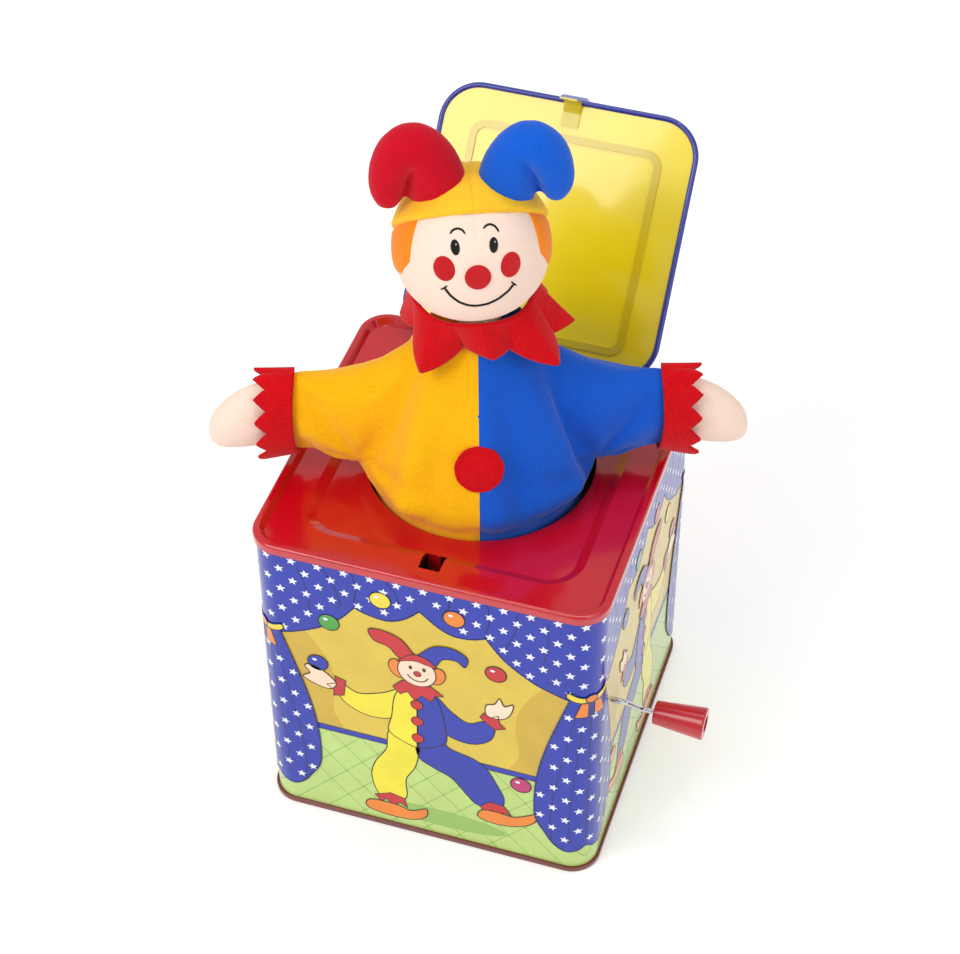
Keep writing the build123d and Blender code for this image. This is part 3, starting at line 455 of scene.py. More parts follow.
def relax(v, f, steps=2, factor=0.5, mask=None):
    """Laplacian smoothing of a skin."""
    e = set()
    for q in f:
        for i in range(len(q)):
            a, b = q[i], q[(i + 1) % len(q)]
            e.add((min(a, b), max(a, b)))
    e = np.array(list(e))
    for _ in range(steps):
        s = np.zeros_like(v)
        n = np.zeros(len(v))
        np.add.at(s, e[:, 0], v[e[:, 1]])
        np.add.at(s, e[:, 1], v[e[:, 0]])
        np.add.at(n, e[:, 0], 1)
        np.add.at(n, e[:, 1], 1)
        t = s / n[:, None]
        w = factor if mask is None else factor * mask[:, None]
        v = v + (t - v) * w
    return v


def subdivide(o, levels=1):
    md = o.modifiers.new("sub", "SUBSURF")
    md.levels = levels
    md.render_levels = levels
    return bake(o)


def bake(o):
    dg = bpy.context.evaluated_depsgraph_get()
    m2 = bpy.data.meshes.new_from_object(o.evaluated_get(dg), preserve_all_data_layers=True, depsgraph=dg)
    old = o.data
    o.modifiers.clear()
    o.data = m2
    bpy.data.meshes.remove(old)
    return o


def smoothstep(a, b, x):
    t = np.clip((x - a) / (b - a), 0, 1)
    return t * t * (3 - 2 * t)


# ---------------------------------------------------------------- the garment
ROBE = [(4.4, 41, 41), (60, 41, 41), (151, 41.2, 41.2), (157, 44.5, 41.8), (164, 45.5, 42.0), (180, 41, 36), (193, 35, 31), (205, 29, 26), (217, 22.5, 20.5), (227, 17.5, 16.5)]


def robe_rings():
    zs = np.linspace(4.4, 227, 75)
    a = np.interp(zs, [r[0] for r in ROBE], [r[1] for r in ROBE])
    b = np.interp(zs, [r[0] for r in ROBE], [r[2] for r in ROBE])
    out = []
    for z, ra, rb in zip(zs, a, b):
        out.append([pup(ra * math.cos(t), rb * math.sin(t), z) for t in np.linspace(0, 2 * math.pi, 96, endpoint=False)])
    return rings(out)


def sleeve_rings(side):
    """Flat wide sleeve: from inside the body out to the cuff, side is -1 for the image's left and 1 for its right."""
    out = []
    st = [(16, 195.0, 25.5, 17), (30, 187.2, 24.4, 14.5), (38, 182.4, 24.2, 12.8), (46, 180.6, 23.2, 11.2), (52, 180.6, 21.8, 10.2), (58, 181.3, 20.2, 9.4), (66, 181.8, 19.0, 8.6), (73.4, 181.4, 18.5, 8.0)]
    for u in np.linspace(16, 73.4, 24):
        zc = np.interp(u, [s[0] for s in st], [s[1] for s in st])
        hh = np.interp(u, [s[0] for s in st], [s[2] for s in st])
        hw = np.interp(u, [s[0] for s in st], [s[3] for s in st])
        y0 = -1.0
        ring = []
        for t in np.linspace(0, 2 * math.pi, 48, endpoint=False):
            ring.append(pup(side * u, y0 + hw * math.cos(t) * side, zc + hh * math.sin(t)))
        out.append(ring)
    return rings(out)


def garment():
    v, f = remeshed("robe", [robe_rings(), sleeve_rings(-1), sleeve_rings(1)], 2.0, 10)
    u = v @ LAT
    y = v @ BACK
    z = v[:, 2]
    # the weight of the cloth: soft folds that run down from the neck and the armpits
    ang = np.arctan2(u, -y)
    body = smoothstep(60, 40, np.abs(u))
    low = smoothstep(222, 196, z) * smoothstep(60, 120, z)
    wave = 1.25 * np.sin(ang * 8 + 0.7 * np.sin(z / 24.0) + 0.6) + 0.6 * np.sin(ang * 15 + 1.3 + z / 40.0) * smoothstep(215, 170, z)
    rad = np.stack([-0 * u, 0 * u, 0 * u], axis=1)
    r = np.hypot(u, y) + 1e-6
    out = (LAT[None] * (u / r)[:, None] + BACK[None] * (y / r)[:, None])
    v = v + out * (wave * body * low * 1.7 * smoothstep(152, 166, z))[:, None]
    # folds from each armpit up to the shoulder, and across the sleeve
    for s in (-1, 1):
        au, az = s * 46.0, 166.0
        du, dz = (u - au) * s, z - az
        rr = np.hypot(du, dz)
        th = np.arctan2(dz, du)
        k = np.exp(-(rr / 30.0) ** 2) * smoothstep(2, 9, rr)
        v = v + BACK[None] * (np.sign(y) * -1.3 * np.sin(th * 7 + 0.5) * k * smoothstep(152, 160, z))[:, None]
    # seams: the centre front and back
    seam = np.exp(-(u / 0.9) ** 2) * smoothstep(60, 35, np.abs(u))
    v = v - out * (0.55 * seam)[:, None]
    pins = np.clip(smoothstep(66, 72, np.abs(u)) + smoothstep(218, 224, z) + smoothstep(158, 148, z) + 0.0, 0, 1)
    v = simulate(v, f, pins, frames=16, shrink=-0.045, cap=2.2, gravity=0.15, pressure=0.6, bend=0.25, tension=10)
    v = relax(v, f, 1, 0.35)
    return v, f


def split_piece(name, v, f, keep, mats, normals):
    """The faces of the garment for which keep is true, with the whole garment's normals along the cut."""
    ids = [i for i, k in enumerate(keep) if k]
    used = sorted({x for i in ids for x in f[i]})
    back = {x: i for i, x in enumerate(used)}
    fs = [tuple(back[x] for x in f[i]) for i in ids]
    o = make(name, v[used], fs, mats)
    o.data.normals_split_custom_set_from_vertices(normals[used].tolist())
    return o


gv, gf = garment()
_tmp = make("tmp", gv, gf, M["plush_blue"])
subdivide(_tmp, 1)
n = len(_tmp.data.vertices)
co = np.empty(n * 3)
_tmp.data.vertices.foreach_get("co", co)
gv = co.reshape(-1, 3) / MM
gf = [tuple(p.vertices) for p in _tmp.data.polygons]
nn = np.empty(n * 3)
_tmp.data.vertex_normals.foreach_get("vector", nn)
gn = nn.reshape(-1, 3)
bpy.data.objects.remove(_tmp)
# the colour change falls on the centre seam: points beside it are drawn onto it
gu = gv @ LAT
near = np.abs(gu) < 0.55
gv = gv - LAT[None] * (gu * near)[:, None]
fc = np.array([gv[list(q)].mean(axis=0) for q in gf])
fu, fz = fc @ LAT, fc[:, 2]
cutu = 44.0 + np.clip((fz - 196) * 0.0, 0, 10)
outer = np.abs(fu) > cutu
outer &= fz > 158
shown = fz > 5.0
robe_left = split_piece("robe_left_cloth", gv, gf, (fu < 0) & ~outer & shown, M["plush_yellow"], gn)
robe_right = split_piece("robe_right_cloth", gv, gf, (fu >= 0) & ~outer & shown, M["plush_blue"], gn)
sleeve_left = split_piece("sleeve_left_cloth", gv, gf, (fu < 0) & outer, M["plush_yellow"], gn)
sleeve_right = split_piece("sleeve_right_cloth", gv, gf, (fu >= 0) & outer, M["plush_blue"], gn)


# ---------------------------------------------------------------- head
def sphere_grid(nu=180, nv=90):
    """Unit directions in head coordinates (x right, u up, f front), poles on u."""
    vs, fs = [], []
    for j in range(1, nv):
        el = -math.pi / 2 + math.pi * j / nv
        for i in range(nu):
            az = 2 * math.pi * i / nu
            vs.append((math.cos(el) * math.sin(az), math.sin(el), math.cos(el) * math.cos(az)))
    for j in range(nv - 2):
        for i in range(nu):
            a, b = j * nu + i, j * nu + (i + 1) % nu
            fs.append((a, b, b + nu, a + nu))
    s, t = len(vs), len(vs) + 1
    vs += [(0, -1, 0), (0, 1, 0)]
    for i in range(nu):
        fs.append((s, (i + 1) % nu, i))
        fs.append((t, (nv - 2) * nu + i, (nv - 2) * nu + (i + 1) % nu))
    return np.array(vs), fs


def head_radius(d):
    """How far the stuffed head's skin is from its centre, along unit directions in head coordinates."""
    x, u, f = d[:, 0], d[:, 1], d[:, 2]
    r = np.full(len(d), HEAD_R - 0.35)
    r = r + 0.55 * np.exp(-((u + 0.25) / 0.35) ** 2) * np.abs(x)          # fuller cheeks
    r = r - 0.9 * smoothstep(-0.72, -1.0, u)                               # chin flattened on the collar
    r = r - 0.45 * np.exp(-(x / 0.016) ** 2) * smoothstep(0.25, 0.42, u) * (f > 0)  # forehead seam
    r = r - 0.35 * np.exp(-((np.abs(x) - 0.93) / 0.05) ** 2) * smoothstep(0.5, 0.0, np.abs(f))
    r = r + 0.16 * np.sin(9 * u + 4 * x) * np.cos(7 * f + 3 * x)
    return r


def head_points(d, r):
    return HEAD[None] + (HX[None] * d[:, :1] + HU[None] * d[:, 1:2] + HF[None] * d[:, 2:3]) * np.asarray(r).reshape(-1, 1)


hd, hf = sphere_grid()
head = make("head_cloth", head_points(hd, head_radius(hd)), hf, M["plush_skin"])

CAP_N, CAP_D = np.array([0.0, 0.912, -0.41]), 0.286


def shell(name, planes, thick, mat, roll=2.4, extra=None, base=HEAD_R - 0.6, seam=None):
    """A padded patch on the head: what is left of the ball inside every plane (n, d) with n.p > d; its edge rolls down to the skin."""
    d, f = sphere_grid(240, 120)
    bm = bmesh.new()
    vs = [bm.verts.new(p) for p in d]
    for q in f:
        bm.faces.new([vs[i] for i in q])
    for nrm, dist in planes:
        geom = bm.verts[:] + bm.edges[:] + bm.faces[:]
        bmesh.ops.bisect_plane(bm, geom=geom, plane_co=Vector(nrm) * dist, plane_no=Vector(nrm), clear_inner=True, dist=1e-5)
    bm.verts.ensure_lookup_table()
    d = np.array([v.co[:] for v in bm.verts])
    f = [tuple(v.index for v in q.verts) for q in (bm.verts.index_update() or bm.faces)]
    edge = {e.verts[k].index for e in bm.edges if len(e.link_faces) == 1 for k in (0, 1)}
    rim = [(e.verts[0].index, e.verts[1].index) for e in bm.edges if len(e.link_faces) == 1]
    bm.free()
    d = d / np.linalg.norm(d, axis=1, keepdims=True)
    depth = np.min([(d @ np.array(nrm) - dist) * HEAD_R for nrm, dist in planes], axis=0)
    k = np.clip(depth / roll, 0, 1)
    r = base + 0.4 + thick * np.sqrt(np.clip(1 - (1 - k) ** 2, 0, 1))
    if seam is not None:
        r = r - seam(d, k)
    if extra is not None:
        r = r + extra(d, k)
    return make(name, head_points(d, r), f, mat)


def norm(v):
    v = np.array(v, float)
    return v / np.linalg.norm(v)


cap = shell("hat_cap_cloth", [(CAP_N, CAP_D)], 2.0, M["cap_yellow"], roll=1.6,
            seam=lambda d, k: 0.6 * np.exp(-(d[:, 0] / 0.018) ** 2) + 0.25 * np.exp(-((np.abs(d[:, 0]) - 0.035) / 0.02) ** 2) * (0.5 + 0.5 * np.sin(d[:, 1] * 90)),
            extra=lambda d, k: 0.18 * np.sin(d[:, 0] * 14 + 2) * np.sin(d[:, 2] * 11) - 0.12 * np.exp(-((k - 0.95) / 0.1) ** 2))


def hair_piece(name, side):
    s = float(side)
    ca, sa = math.cos(math.radians(50)), math.sin(math.radians(50))
    planes = [(-CAP_N, -CAP_D - 0.02), (norm((s * ca, 0.0, -sa)), 0.06), (norm((0, 1.0, 0.0)), -0.235), (norm((s * 0.75, 0.45, -0.48)), 0.33),
              ((s, 0.0, 0.0), 0.0)]
    return shell(name, planes, 1.35, M["plush_orange"], roll=3.0)


def hair_all():
    """Hair round the sides and the back as two pads that meet at the back seam."""
    out = []
    for s, nm in ((-1, "hair_left_cloth"), (1, "hair_right_cloth")):
        planes = [(-CAP_N, -CAP_D - 0.02), (norm((s * 0.62, 0.0, -0.78)), 0.04), (norm((0, 1.0, -0.12)), -0.27), (norm((s * 0.60, 0.62, -0.5)), 0.17), ((s, 0.0, 0.0), 0.0)]
        planes[1] = (norm((s * 0.64, 0.0, -0.40)), 0.46)
        planes[1] = None
        planes = [p for p in planes if p is not None]
        # front edge at about 54 degrees from the face's middle
        a = math.radians(54)
        planes.append((norm((s * math.cos(a), 0.0, -math.sin(a))), 0.0))
        a2 = math.radians(62)
        planes.append((norm((s * math.cos(a2), 0.85, -math.sin(a2))), -0.09))
        out.append(shell(nm, planes, 1.5, M["plush_orange"], roll=3.2, base=HEAD_R - 1.3))
    return out


hair = hair_all()


# ---------------------------------------------------------------- embroidery on the face
def on_face(x, u, lift=0.0):
    """Points on the face from plan coordinates in mm."""
    x, u = np.asarray(x, float), np.asarray(u, float)
    f = np.sqrt(np.clip(HEAD_R ** 2 - x * x - u * u, 1, None))
    d = np.stack([x, u, f], axis=1)
    d = d / np.linalg.norm(d, axis=1, keepdims=True)
    return head_points(d, head_radius(d) + np.asarray(lift))


def pad(name, cx, cu, rx, ru, height, mat, tilt=0.0, n=48, m=10, ridge=0.0, count=40):
    """A satin-stitched oval, domed, with its strands lying across it and a rolled edge."""
    vs_x, vs_u, lift, fs = [cx], [cu], [height], []
    for j in range(1, m + 1):
        q = j / m
        for i in range(n):
            t = 2 * math.pi * i / n
            a, b = rx * q * math.cos(t), ru * q * math.sin(t)
            vs_x.append(cx + a * math.cos(tilt) - b * math.sin(tilt))
            vs_u.append(cu + a * math.sin(tilt) + b * math.cos(tilt))
            lift.append(height * math.sqrt(max(0, 1 - q ** 3.2)) - (0.25 if j == m else 0) + ridge * math.sin(a / rx * count))
    for i in range(n):
        fs.append((0, 1 + i, 1 + (i + 1) % n))
    for j in range(m - 1):
        for i in range(n):
            a, b = 1 + j * n + i, 1 + j * n + (i + 1) % n
            fs.append((a, a + n, b + n, b))
    return make(name, on_face(vs_x, vs_u, np.array(lift)), fs, mat)


def stitch_line(name, pts, width, height, mat):
    """A rounded cord of stitches along a line on the face, with the bumps of its stitches."""
    pts = np.array(pts, float)
    # smooth resample
    seg = np.r_[0, np.cumsum(np.hypot(*np.diff(pts, axis=0).T))]
    n = max(12, int(seg[-1] / 0.3))
    s = np.linspace(0, seg[-1], n)
    px, pu = np.interp(s, seg, pts[:, 0]), np.interp(s, seg, pts[:, 1])
    for _ in range(6):
        px[1:-1] = (px[:-2] + 2 * px[1:-1] + px[2:]) / 4
        pu[1:-1] = (pu[:-2] + 2 * pu[1:-1] + pu[2:]) / 4
    tx, tu = np.gradient(px), np.gradient(pu)
    ln = np.hypot(tx, tu) + 1e-9
    tx, tu = tx / ln, tu / ln
    xs, us, lift, fs = [], [], [], []
    k = 7
    for i in range(n):
        w = width * (1 + 0.12 * math.sin(i * 2.1)) * min(1, 0.35 + min(i, n - 1 - i) / 3)
        for j in range(k):
            q = -1 + 2 * j / (k - 1)
            xs.append(px[i] - tu[i] * w * q)
            us.append(pu[i] + tx[i] * w * q)
            lift.append(height * math.sqrt(max(0, 1 - q * q)) * (1 + 0.15 * math.sin(i * 2.1)) - 0.12)
    for i in range(n - 1):
        for j in range(k - 1):
            a = i * k + j
            fs.append((a, a + k, a + k + 1, a + 1))
    return make(name, on_face(xs, us, np.array(lift)), fs, mat)


face = [
    pad("eye_left_thread", -7.8, 8.2, 1.7, 2.85, 0.45, M["thread_black"], 0.05),
    pad("eye_right_thread", 5.9, 8.3, 1.7, 2.85, 0.45, M["thread_black"], -0.05),
    # the small white pads on the eyes are painted highlights: glints of light on the black thread
    pad("eye_left_glint", -7.35, 9.2, 0.28, 0.4, 0.62, M["painted_glint_white"], 0, 24, 5),
    pad("eye_right_glint", 6.35, 9.3, 0.28, 0.4, 0.62, M["painted_glint_white"], 0, 24, 5),
    pad("cheek_left_thread", -12.0, 0.4, 3.9, 4.9, 0.55, M["thread_red"], 0.12),
    pad("cheek_right_thread", 11.7, 0.3, 3.9, 4.9, 0.55, M["thread_red"], -0.12),
    pad("nose_thread", -0.3, -2.9, 4.9, 4.9, 1.3, M["thread_red"], 0),
    stitch_line("mouth_thread", [(-12.1, -7.0), (-10.2, -10.0), (-7.2, -12.8), (-4.0, -14.3), (-0.8, -14.7), (3.0, -14.2), (7.0, -12.6), (10.6, -10.0), (12.7, -7.4)], 0.52, 0.5, M["thread_black"]),
    stitch_line("mouth_tick_left_thread", [(-13.4, -7.7), (-12.1, -7.0), (-11.2, -5.9)], 0.36, 0.5, M["thread_black"]),
    stitch_line("mouth_tick_right_thread", [(11.7, -6.2), (12.7, -7.4), (13.7, -8.3)], 0.36, 0.5, M["thread_black"]),
    stitch_line("brow_left_thread", [(-9.3, 12.6), (-8.3, 13.9), (-6.6, 14.5), (-4.9, 14.1), (-3.9, 12.6)], 0.42, 0.42, M["thread_black"]),
    stitch_line("brow_right_thread", [(2.6, 14.0), (3.6, 15.0), (5.2, 15.3), (7.0, 14.4), (8.2, 12.4)], 0.42, 0.42, M["thread_black"]),
]


# ---------------------------------------------------------------- horns
def tube(stations, n=40, steps=8):
    """Closed skin round a bent, tapering stuffed tube: stations of (u, y, z, half width in the plane, half depth)."""
    st = np.array(stations, float)
    k = len(st)
    t = np.linspace(0, k - 1, (k - 1) * steps + 1)
    ii = np.clip(t.astype(int), 0, k - 2)
    fr = t - ii
    def cr(p0, p1, p2, p3, q):
        return 0.5 * ((2 * p1) + (-p0 + p2) * q + (2 * p0 - 5 * p1 + 4 * p2 - p3) * q ** 2 + (-p0 + 3 * p1 - 3 * p2 + p3) * q ** 3)
    rows = []
    for i, q in zip(ii, fr):
        rows.append(cr(st[max(i - 1, 0)], st[i], st[i + 1], st[min(i + 2, k - 1)], q))
    rows = np.array(rows)
    c = rows[:, 0:1] * LAT + rows[:, 1:2] * BACK + rows[:, 2:3] * UP
    tan = np.gradient(c, axis=0)
    tan /= np.linalg.norm(tan, axis=1, keepdims=True)
    out = []
    for p, d, row in zip(c, tan, rows):
        b = BACK - d * (BACK @ d)
        b /= np.linalg.norm(b)
        a = np.cross(b, d)
        out.append([p + a * row[3] * math.cos(w) + b * row[4] * math.sin(w) for w in np.linspace(0, 2 * math.pi, n, endpoint=False)])
    return rings(out)


def ball(u, y, z, r):
    d, f = sphere_grid(36, 18)
    return [pup(u, y, z) + p * r for p in d[:, [0, 2, 1]] * np.array([1, 1, 1])], [tuple(reversed(q)) for q in f]


def horn(name, st, mat, crease, tip):
    v, f = remeshed(name, [tube(st)], 1.3, 4)
    low = smoothstep(0, 1, np.clip((v[:, 2] - 277) / 12, 0, 1))
    v = simulate(v, f, 1 - low, frames=14, pressure=3.2, shrink=-0.01, cap=1.1, bend=0.2, tension=14)
    u, y, z = v @ LAT, v @ BACK, v[:, 2]
    # the fold where the point flops over
    p0, p1 = np.array(crease[0]), np.array(crease[1])
    q = np.stack([u, z], axis=1)
    w = np.clip(((q - p0) @ (p1 - p0)) / ((p1 - p0) @ (p1 - p0)), -0.15, 1.1)
    dist = np.linalg.norm(q - (p0 + w[:, None] * (p1 - p0)), axis=1)
    deep = 2.6 * np.exp(-(dist / 1.7) ** 2) * smoothstep(-0.1, 0.2, w) * smoothstep(1.15, 0.9, w)
    v = v - BACK[None] * (np.sign(y) * deep)[:, None]
    # small puckers
    v = v + BACK[None] * (0.18 * np.sin(u * 0.9 + z * 0.6) * np.sin(z * 0.5))[:, None]
    o = make(name, relax(v, f, 1, 0.4), f, mat)
    return subdivide(o, 1)


RED_ST = [(-12.6, 4, 276, 10.3, 10.5), (-14.4, 4, 287, 10.8, 10.5), (-17.2, 4, 296, 10.3, 10), (-22.3, 3.5, 301.8, 9.4, 9.4), (-27.8, 2.5, 299.4, 8.3, 8.8), (-30.9, 1.5, 292.5, 7.4, 7.6), (-31.6, 0.5, 285.0, 6.2, 6.4), (-31.8, 0, 280.0, 3.4, 3.8)]
BLUE_ST = [(9.8, 4, 276, 10.3, 10.5), (10.8, 4, 287, 10.6, 10.5), (13.4, 4, 296, 10.2, 10), (18.4, 3.5, 302.2, 9.4, 9.4), (24.0, 2.5, 300.2, 8.4, 8.8), (27.2, 1.5, 293.8, 7.4, 7.8), (27.9, 0.5, 287.4, 6.2, 6.4), (28.1, 0, 283.0, 3.4, 3.8)]
horn_red = horn("horn_red_cloth", RED_ST, M["plush_red"], ((-22.0, 300.0), (-26.6, 284.0)), -1)
horn_blue = horn("horn_blue_cloth", BLUE_ST, M["horn_blue"], ((17.0, 303.0), (23.0, 285.0)), 1)


# ---------------------------------------------------------------- felt pieces
def felt_ring(name, inner, outer, thick, mat, n=240, m=14):
    """Felt with thickness between two closed lines given as functions of the angle; returns the piece."""
    top, bot = [], []
    ts = np.linspace(0, 2 * math.pi, n, endpoint=False)
    grid = []
    for j in range(m + 1):
        q = j / m
        grid.append(np.array([inner(t) * (1 - q) + outer(t) * q for t in ts]))
    g = np.array(grid)  # (m+1, n, 3)
    du = np.roll(g, -1, axis=1) - np.roll(g, 1, axis=1)
    dv = np.gradient(g, axis=0)
    nr = np.cross(du, dv)
    nr /= np.linalg.norm(nr, axis=2, keepdims=True) + 1e-12
    a, b = g + nr * thick / 2, g - nr * thick / 2
    v = np.concatenate([a.reshape(-1, 3), b.reshape(-1, 3)])
    off = (m + 1) * n
    f = []
    for j in range(m):
        for i in range(n):
            p, q = j * n + i, j * n + (i + 1) % n
            f.append((p, q, q + n, p + n))
            f.append((off + p, off + p + n, off + q + n, off + q))
    for i in range(n):
        p, q = i, (i + 1) % n
        f.append((p, off + p, off + q, q))
        p, q = m * n + i, m * n + (i + 1) % n
        f.append((p, q, off + q, off + p))
    return make(name, v, f, mat)


TIPS = [(-104, 29.5, 224.0), (-42, 31.5, 220.5), (13, 24.5, 226.0), (53, 37.0, 222.5), (90, 36.0, 224.0), (128, 33, 223), (165, 33, 222), (-165, 33, 222), (-133, 33, 223)]
VALS = [(-75, 23.5, 226.5), (-17, 17.8, 228.4), (33, 21.0, 227.6), (72, 29.0, 225.5), (109, 27, 226), (147, 27, 225.5), (180, 27, 225.5), (-149, 27, 225.5), (-118, 26, 226)]
_c = sorted([(a % 360, r, z) for a, r, z in TIPS + VALS])
_ca = np.array([c[0] for c in _c])
_cr = np.array([c[1] for c in _c])
_cz = np.array([c[2] for c in _c])


def collar_outer(t):
    a = math.degrees(t) % 360
    r = np.interp(a, np.r_[_ca[-1] - 360, _ca, _ca[0] + 360], np.r_[_cr[-1], _cr, _cr[0]])
    z = np.interp(a, np.r_[_ca[-1] - 360, _ca, _ca[0] + 360], np.r_[_cz[-1], _cz, _cz[0]])
    return pup(r * math.sin(t), -r * math.cos(t), z + 0.9 * math.sin(5 * t + 1))


def collar_inner(t):
    r = 22.6
    return pup(-1.8 + r * math.sin(t), -0.4 - r * math.cos(t), 242.6 + 0.5 * math.sin(5 * t + 1))


collar = felt_ring("collar_felt", collar_inner, collar_outer, 1.3, M["felt_red"], 288, 14)


def cuff(name, s):
    """A band of felt round the wrist: the inner edge is straight and the outer one is cut in points."""
    pts = 12
    def inner(t):
        return pup(s * (70.2 + 0.6 * math.cos(2 * t)), -1 + 10.2 * math.cos(t) * s, 181.4 + 19.7 * math.sin(t))
    def outer(t):
        w = (pts * t / (2 * math.pi)) % 1
        tri = 1 - abs(2 * w - 1)
        tri = tri ** 0.85
        ex = 80.6 + 4.8 * tri
        fl = 1.0 + 0.05 * tri
        return pup(s * ex, -1 + 11.2 * fl * math.cos(t) * s, 179.8 + 20.2 * fl * math.sin(t))
    return felt_ring(name, inner, outer, 1.2, M["felt_red"], 256, 12)


cuff_left = cuff("cuff_left_felt", -1)
cuff_right = cuff("cuff_right_felt", 1)


def hand(name, s):
    """A stuffed mitten hand with its thumb side up."""
    st = [(74.5, 181.0, 15.0, 6.4), (80, 180.3, 15.2, 7.4), (86, 179.4, 14.6, 7.9), (92, 177.5, 13.2, 7.8), (97, 175.2, 11.2, 7.0), (101, 173.2, 8.6, 5.6), (103.4, 172.0, 5.6, 3.8), (104.4, 171.6, 2.2, 1.6)]
    out = []
    for u, zc, hh, hw in st:
        out.append([pup(s * u, -1 + hw * math.cos(t) * s, zc + hh * math.sin(t)) for t in np.linspace(0, 2 * math.pi, 40, endpoint=False)])
    v, f = remeshed(name, [rings(out)], 1.4, 3)
    u = np.abs(v @ LAT)
    v = simulate(v, f, smoothstep(84, 80, u), frames=12, pressure=3.0, shrink=-0.01, cap=0.8, bend=0.2, tension=14)
    u, y, z = v @ LAT, v @ BACK, v[:, 2]
    edge = np.exp(-((y + 1) / 0.9) ** 2)
    c = pup(s * 85, -1, 176)
    d = v - c
    d -= np.outer(d @ BACK, BACK)
    d /= np.linalg.norm(d, axis=1, keepdims=True) + 1e-9
    v = v - d * (0.35 * edge)[:, None]
    return subdivide(make(name, v, f, M["plush_skin"]), 1)


hand_left = hand("hand_left_cloth", -1)
hand_right = hand("hand_right_cloth", 1)


# ---------------------------------------------------------------- button on the robe
def button():
    c = pup(0, -37.2, 184)
    nrm = -0.94 * BACK + 0.34 * UP
    nrm = nrm / np.linalg.norm(nrm)
    a = LAT
    b = np.cross(nrm, a)
    vs, fs = [], []
    n, m = 72, 12
    prof = [(0.0, 2.2), (2.0, 2.18), (4.0, 2.1), (6.0, 1.95), (7.4, 1.75), (8.0, 1.35), (8.4, 1.75), (9.0, 1.7), (9.35, 1.2), (9.4, 0.6), (9.2, -0.2), (8.6, -0.6)]
    for r, h in prof:
        for i in range(n):
            t = 2 * math.pi * i / n
            rr = r * (1 + 0.008 * math.sin(9 * t) + 0.006 * math.sin(23 * t))
            vs.append(c + a * rr * math.cos(t) + b * rr * math.sin(t) + nrm * (h + 0.05 * math.sin(38 * t) * (r > 7.5) - rr * rr * 0.004))
    for j in range(len(prof) - 1):
        for i in range(n):
            p, q = j * n + i, j * n + (i + 1) % n
            fs.append((p, p + n, q + n, q))
    return make("button_felt", vs, fs, M["felt_red"])


robe_button = button()


# ---------------------------------------------------------------- spring
def spring():
    turns, r, w, n = 8, 17.5, 0.9, 10
    z0, z1 = 6.5, 214.0
    steps = turns * 48
    rs = []
    for i in range(steps + 1):
        q = i / steps
        t = 2 * math.pi * turns * q
        p = np.array([r * math.cos(t), r * math.sin(t), z0 + (z1 - z0) * q])
        tan = np.array([-r * math.sin(t), r * math.cos(t), (z1 - z0) / (2 * math.pi * turns)])
        tan /= np.linalg.norm(tan)
        a = np.array([math.cos(t), math.sin(t), 0])
        b = np.cross(tan, a)
        rs.append([p + w * (a * math.cos(k) + b * math.sin(k)) for k in np.linspace(0, 2 * math.pi, n, endpoint=False)])
    v, f = rings(rs)
    return make("spring_wire", v, f, M["spring_steel"])


spring_wire = spring()


# ---------------------------------------------------------------- printed walls
HALF, CR = 70.0, 11.0
FLAT = 2 * (HALF - CR)
ARC = math.pi / 2 * CR
PANEL = FLAT + ARC
ink_mats, ink_index = [], {}


def ink_id(key, rgb):
    if key not in ink_index:
        ink_index[key] = len(ink_mats)
        ink_mats.append(ink("ink_" + key, rgb))
    return ink_index[key]


INKS = {
    "yellow": srgb(220, 190, 62), "ochre": srgb(206, 170, 50), "green": srgb(190, 216, 124), "lattice": srgb(150, 186, 92), "blue": srgb(20, 44, 168),
    "deep": srgb(20, 34, 118), "white": srgb(236, 238, 246), "red": srgb(200, 20, 32), "line": srgb(40, 26, 40), "skin": srgb(248, 218, 190),
    "suit": srgb(240, 224, 44), "orange": srgb(238, 132, 32), "ball_green": srgb(70, 160, 60), "magenta": srgb(190, 34, 110), "gold": srgb(238, 214, 60), "sky": srgb(70, 100, 210),
    "shadow": srgb(150, 190, 96),
}
for k, c in INKS.items():
    ink_id(k, c)


def wall_point(s, z, lift):
    """A place on the walls: s runs round the box from the middle of the front towards the crank side."""
    s = (s + PANEL / 2) % (4 * PANEL)
    side = int(s // PANEL)
    q = s - side * PANEL - PANEL / 2
    if abs(q) <= FLAT / 2:
        x, y = q, -HALF - lift
    else:
        sg = 1 if q > 0 else -1
        t = (abs(q) - FLAT / 2) / CR
        x = sg * (FLAT / 2 + (CR + lift) * math.sin(t))
        y = -(HALF - CR) - (CR + lift) * math.cos(t)
    for _ in range(side):
        x, y = -y, x
    return (x, y, z)


art_v, art_f, art_i = [], [], []


def lay(points, key, level, dent=True):
    """A flat printed shape with its outline in (s, z), cut at the corners so that it follows the wall."""
    pts = [Vector((p[0], p[1], 0)) for p in points]
    bm = bmesh.new()
    vs = [bm.verts.new(p) for p in pts]
    for tri in tessellate_polygon([pts]):
        try:
            bm.faces.new([vs[i] for i in tri])
        except ValueError:
            pass
    lo, hi = min(p.x for p in pts), max(p.x for p in pts)
    cuts = []
    for c in range(-3, 6):
        mid = (c + 0.5) * PANEL
        for k in range(-6, 7):
            x = mid + k * ARC / 12
            if lo < x < hi:
                cuts.append(x)
    for x in cuts:
        bmesh.ops.bisect_plane(bm, geom=bm.verts[:] + bm.edges[:] + bm.faces[:], plane_co=(x, 0, 0), plane_no=(1, 0, 0), dist=1e-6)
    base = len(art_v)
    bm.normal_update()
    bm.verts.index_update()
    for v in bm.verts:
        art_v.append(wall_point(v.co.x, v.co.y, 0.02 + 0.022 * level))
    for f in bm.faces:
        idx = [v.index for v in f.verts]
        if f.normal.z < 0:
            idx.reverse()
        art_f.append(tuple(base + i for i in idx))
        art_i.append(ink_index[key])
    bm.free()


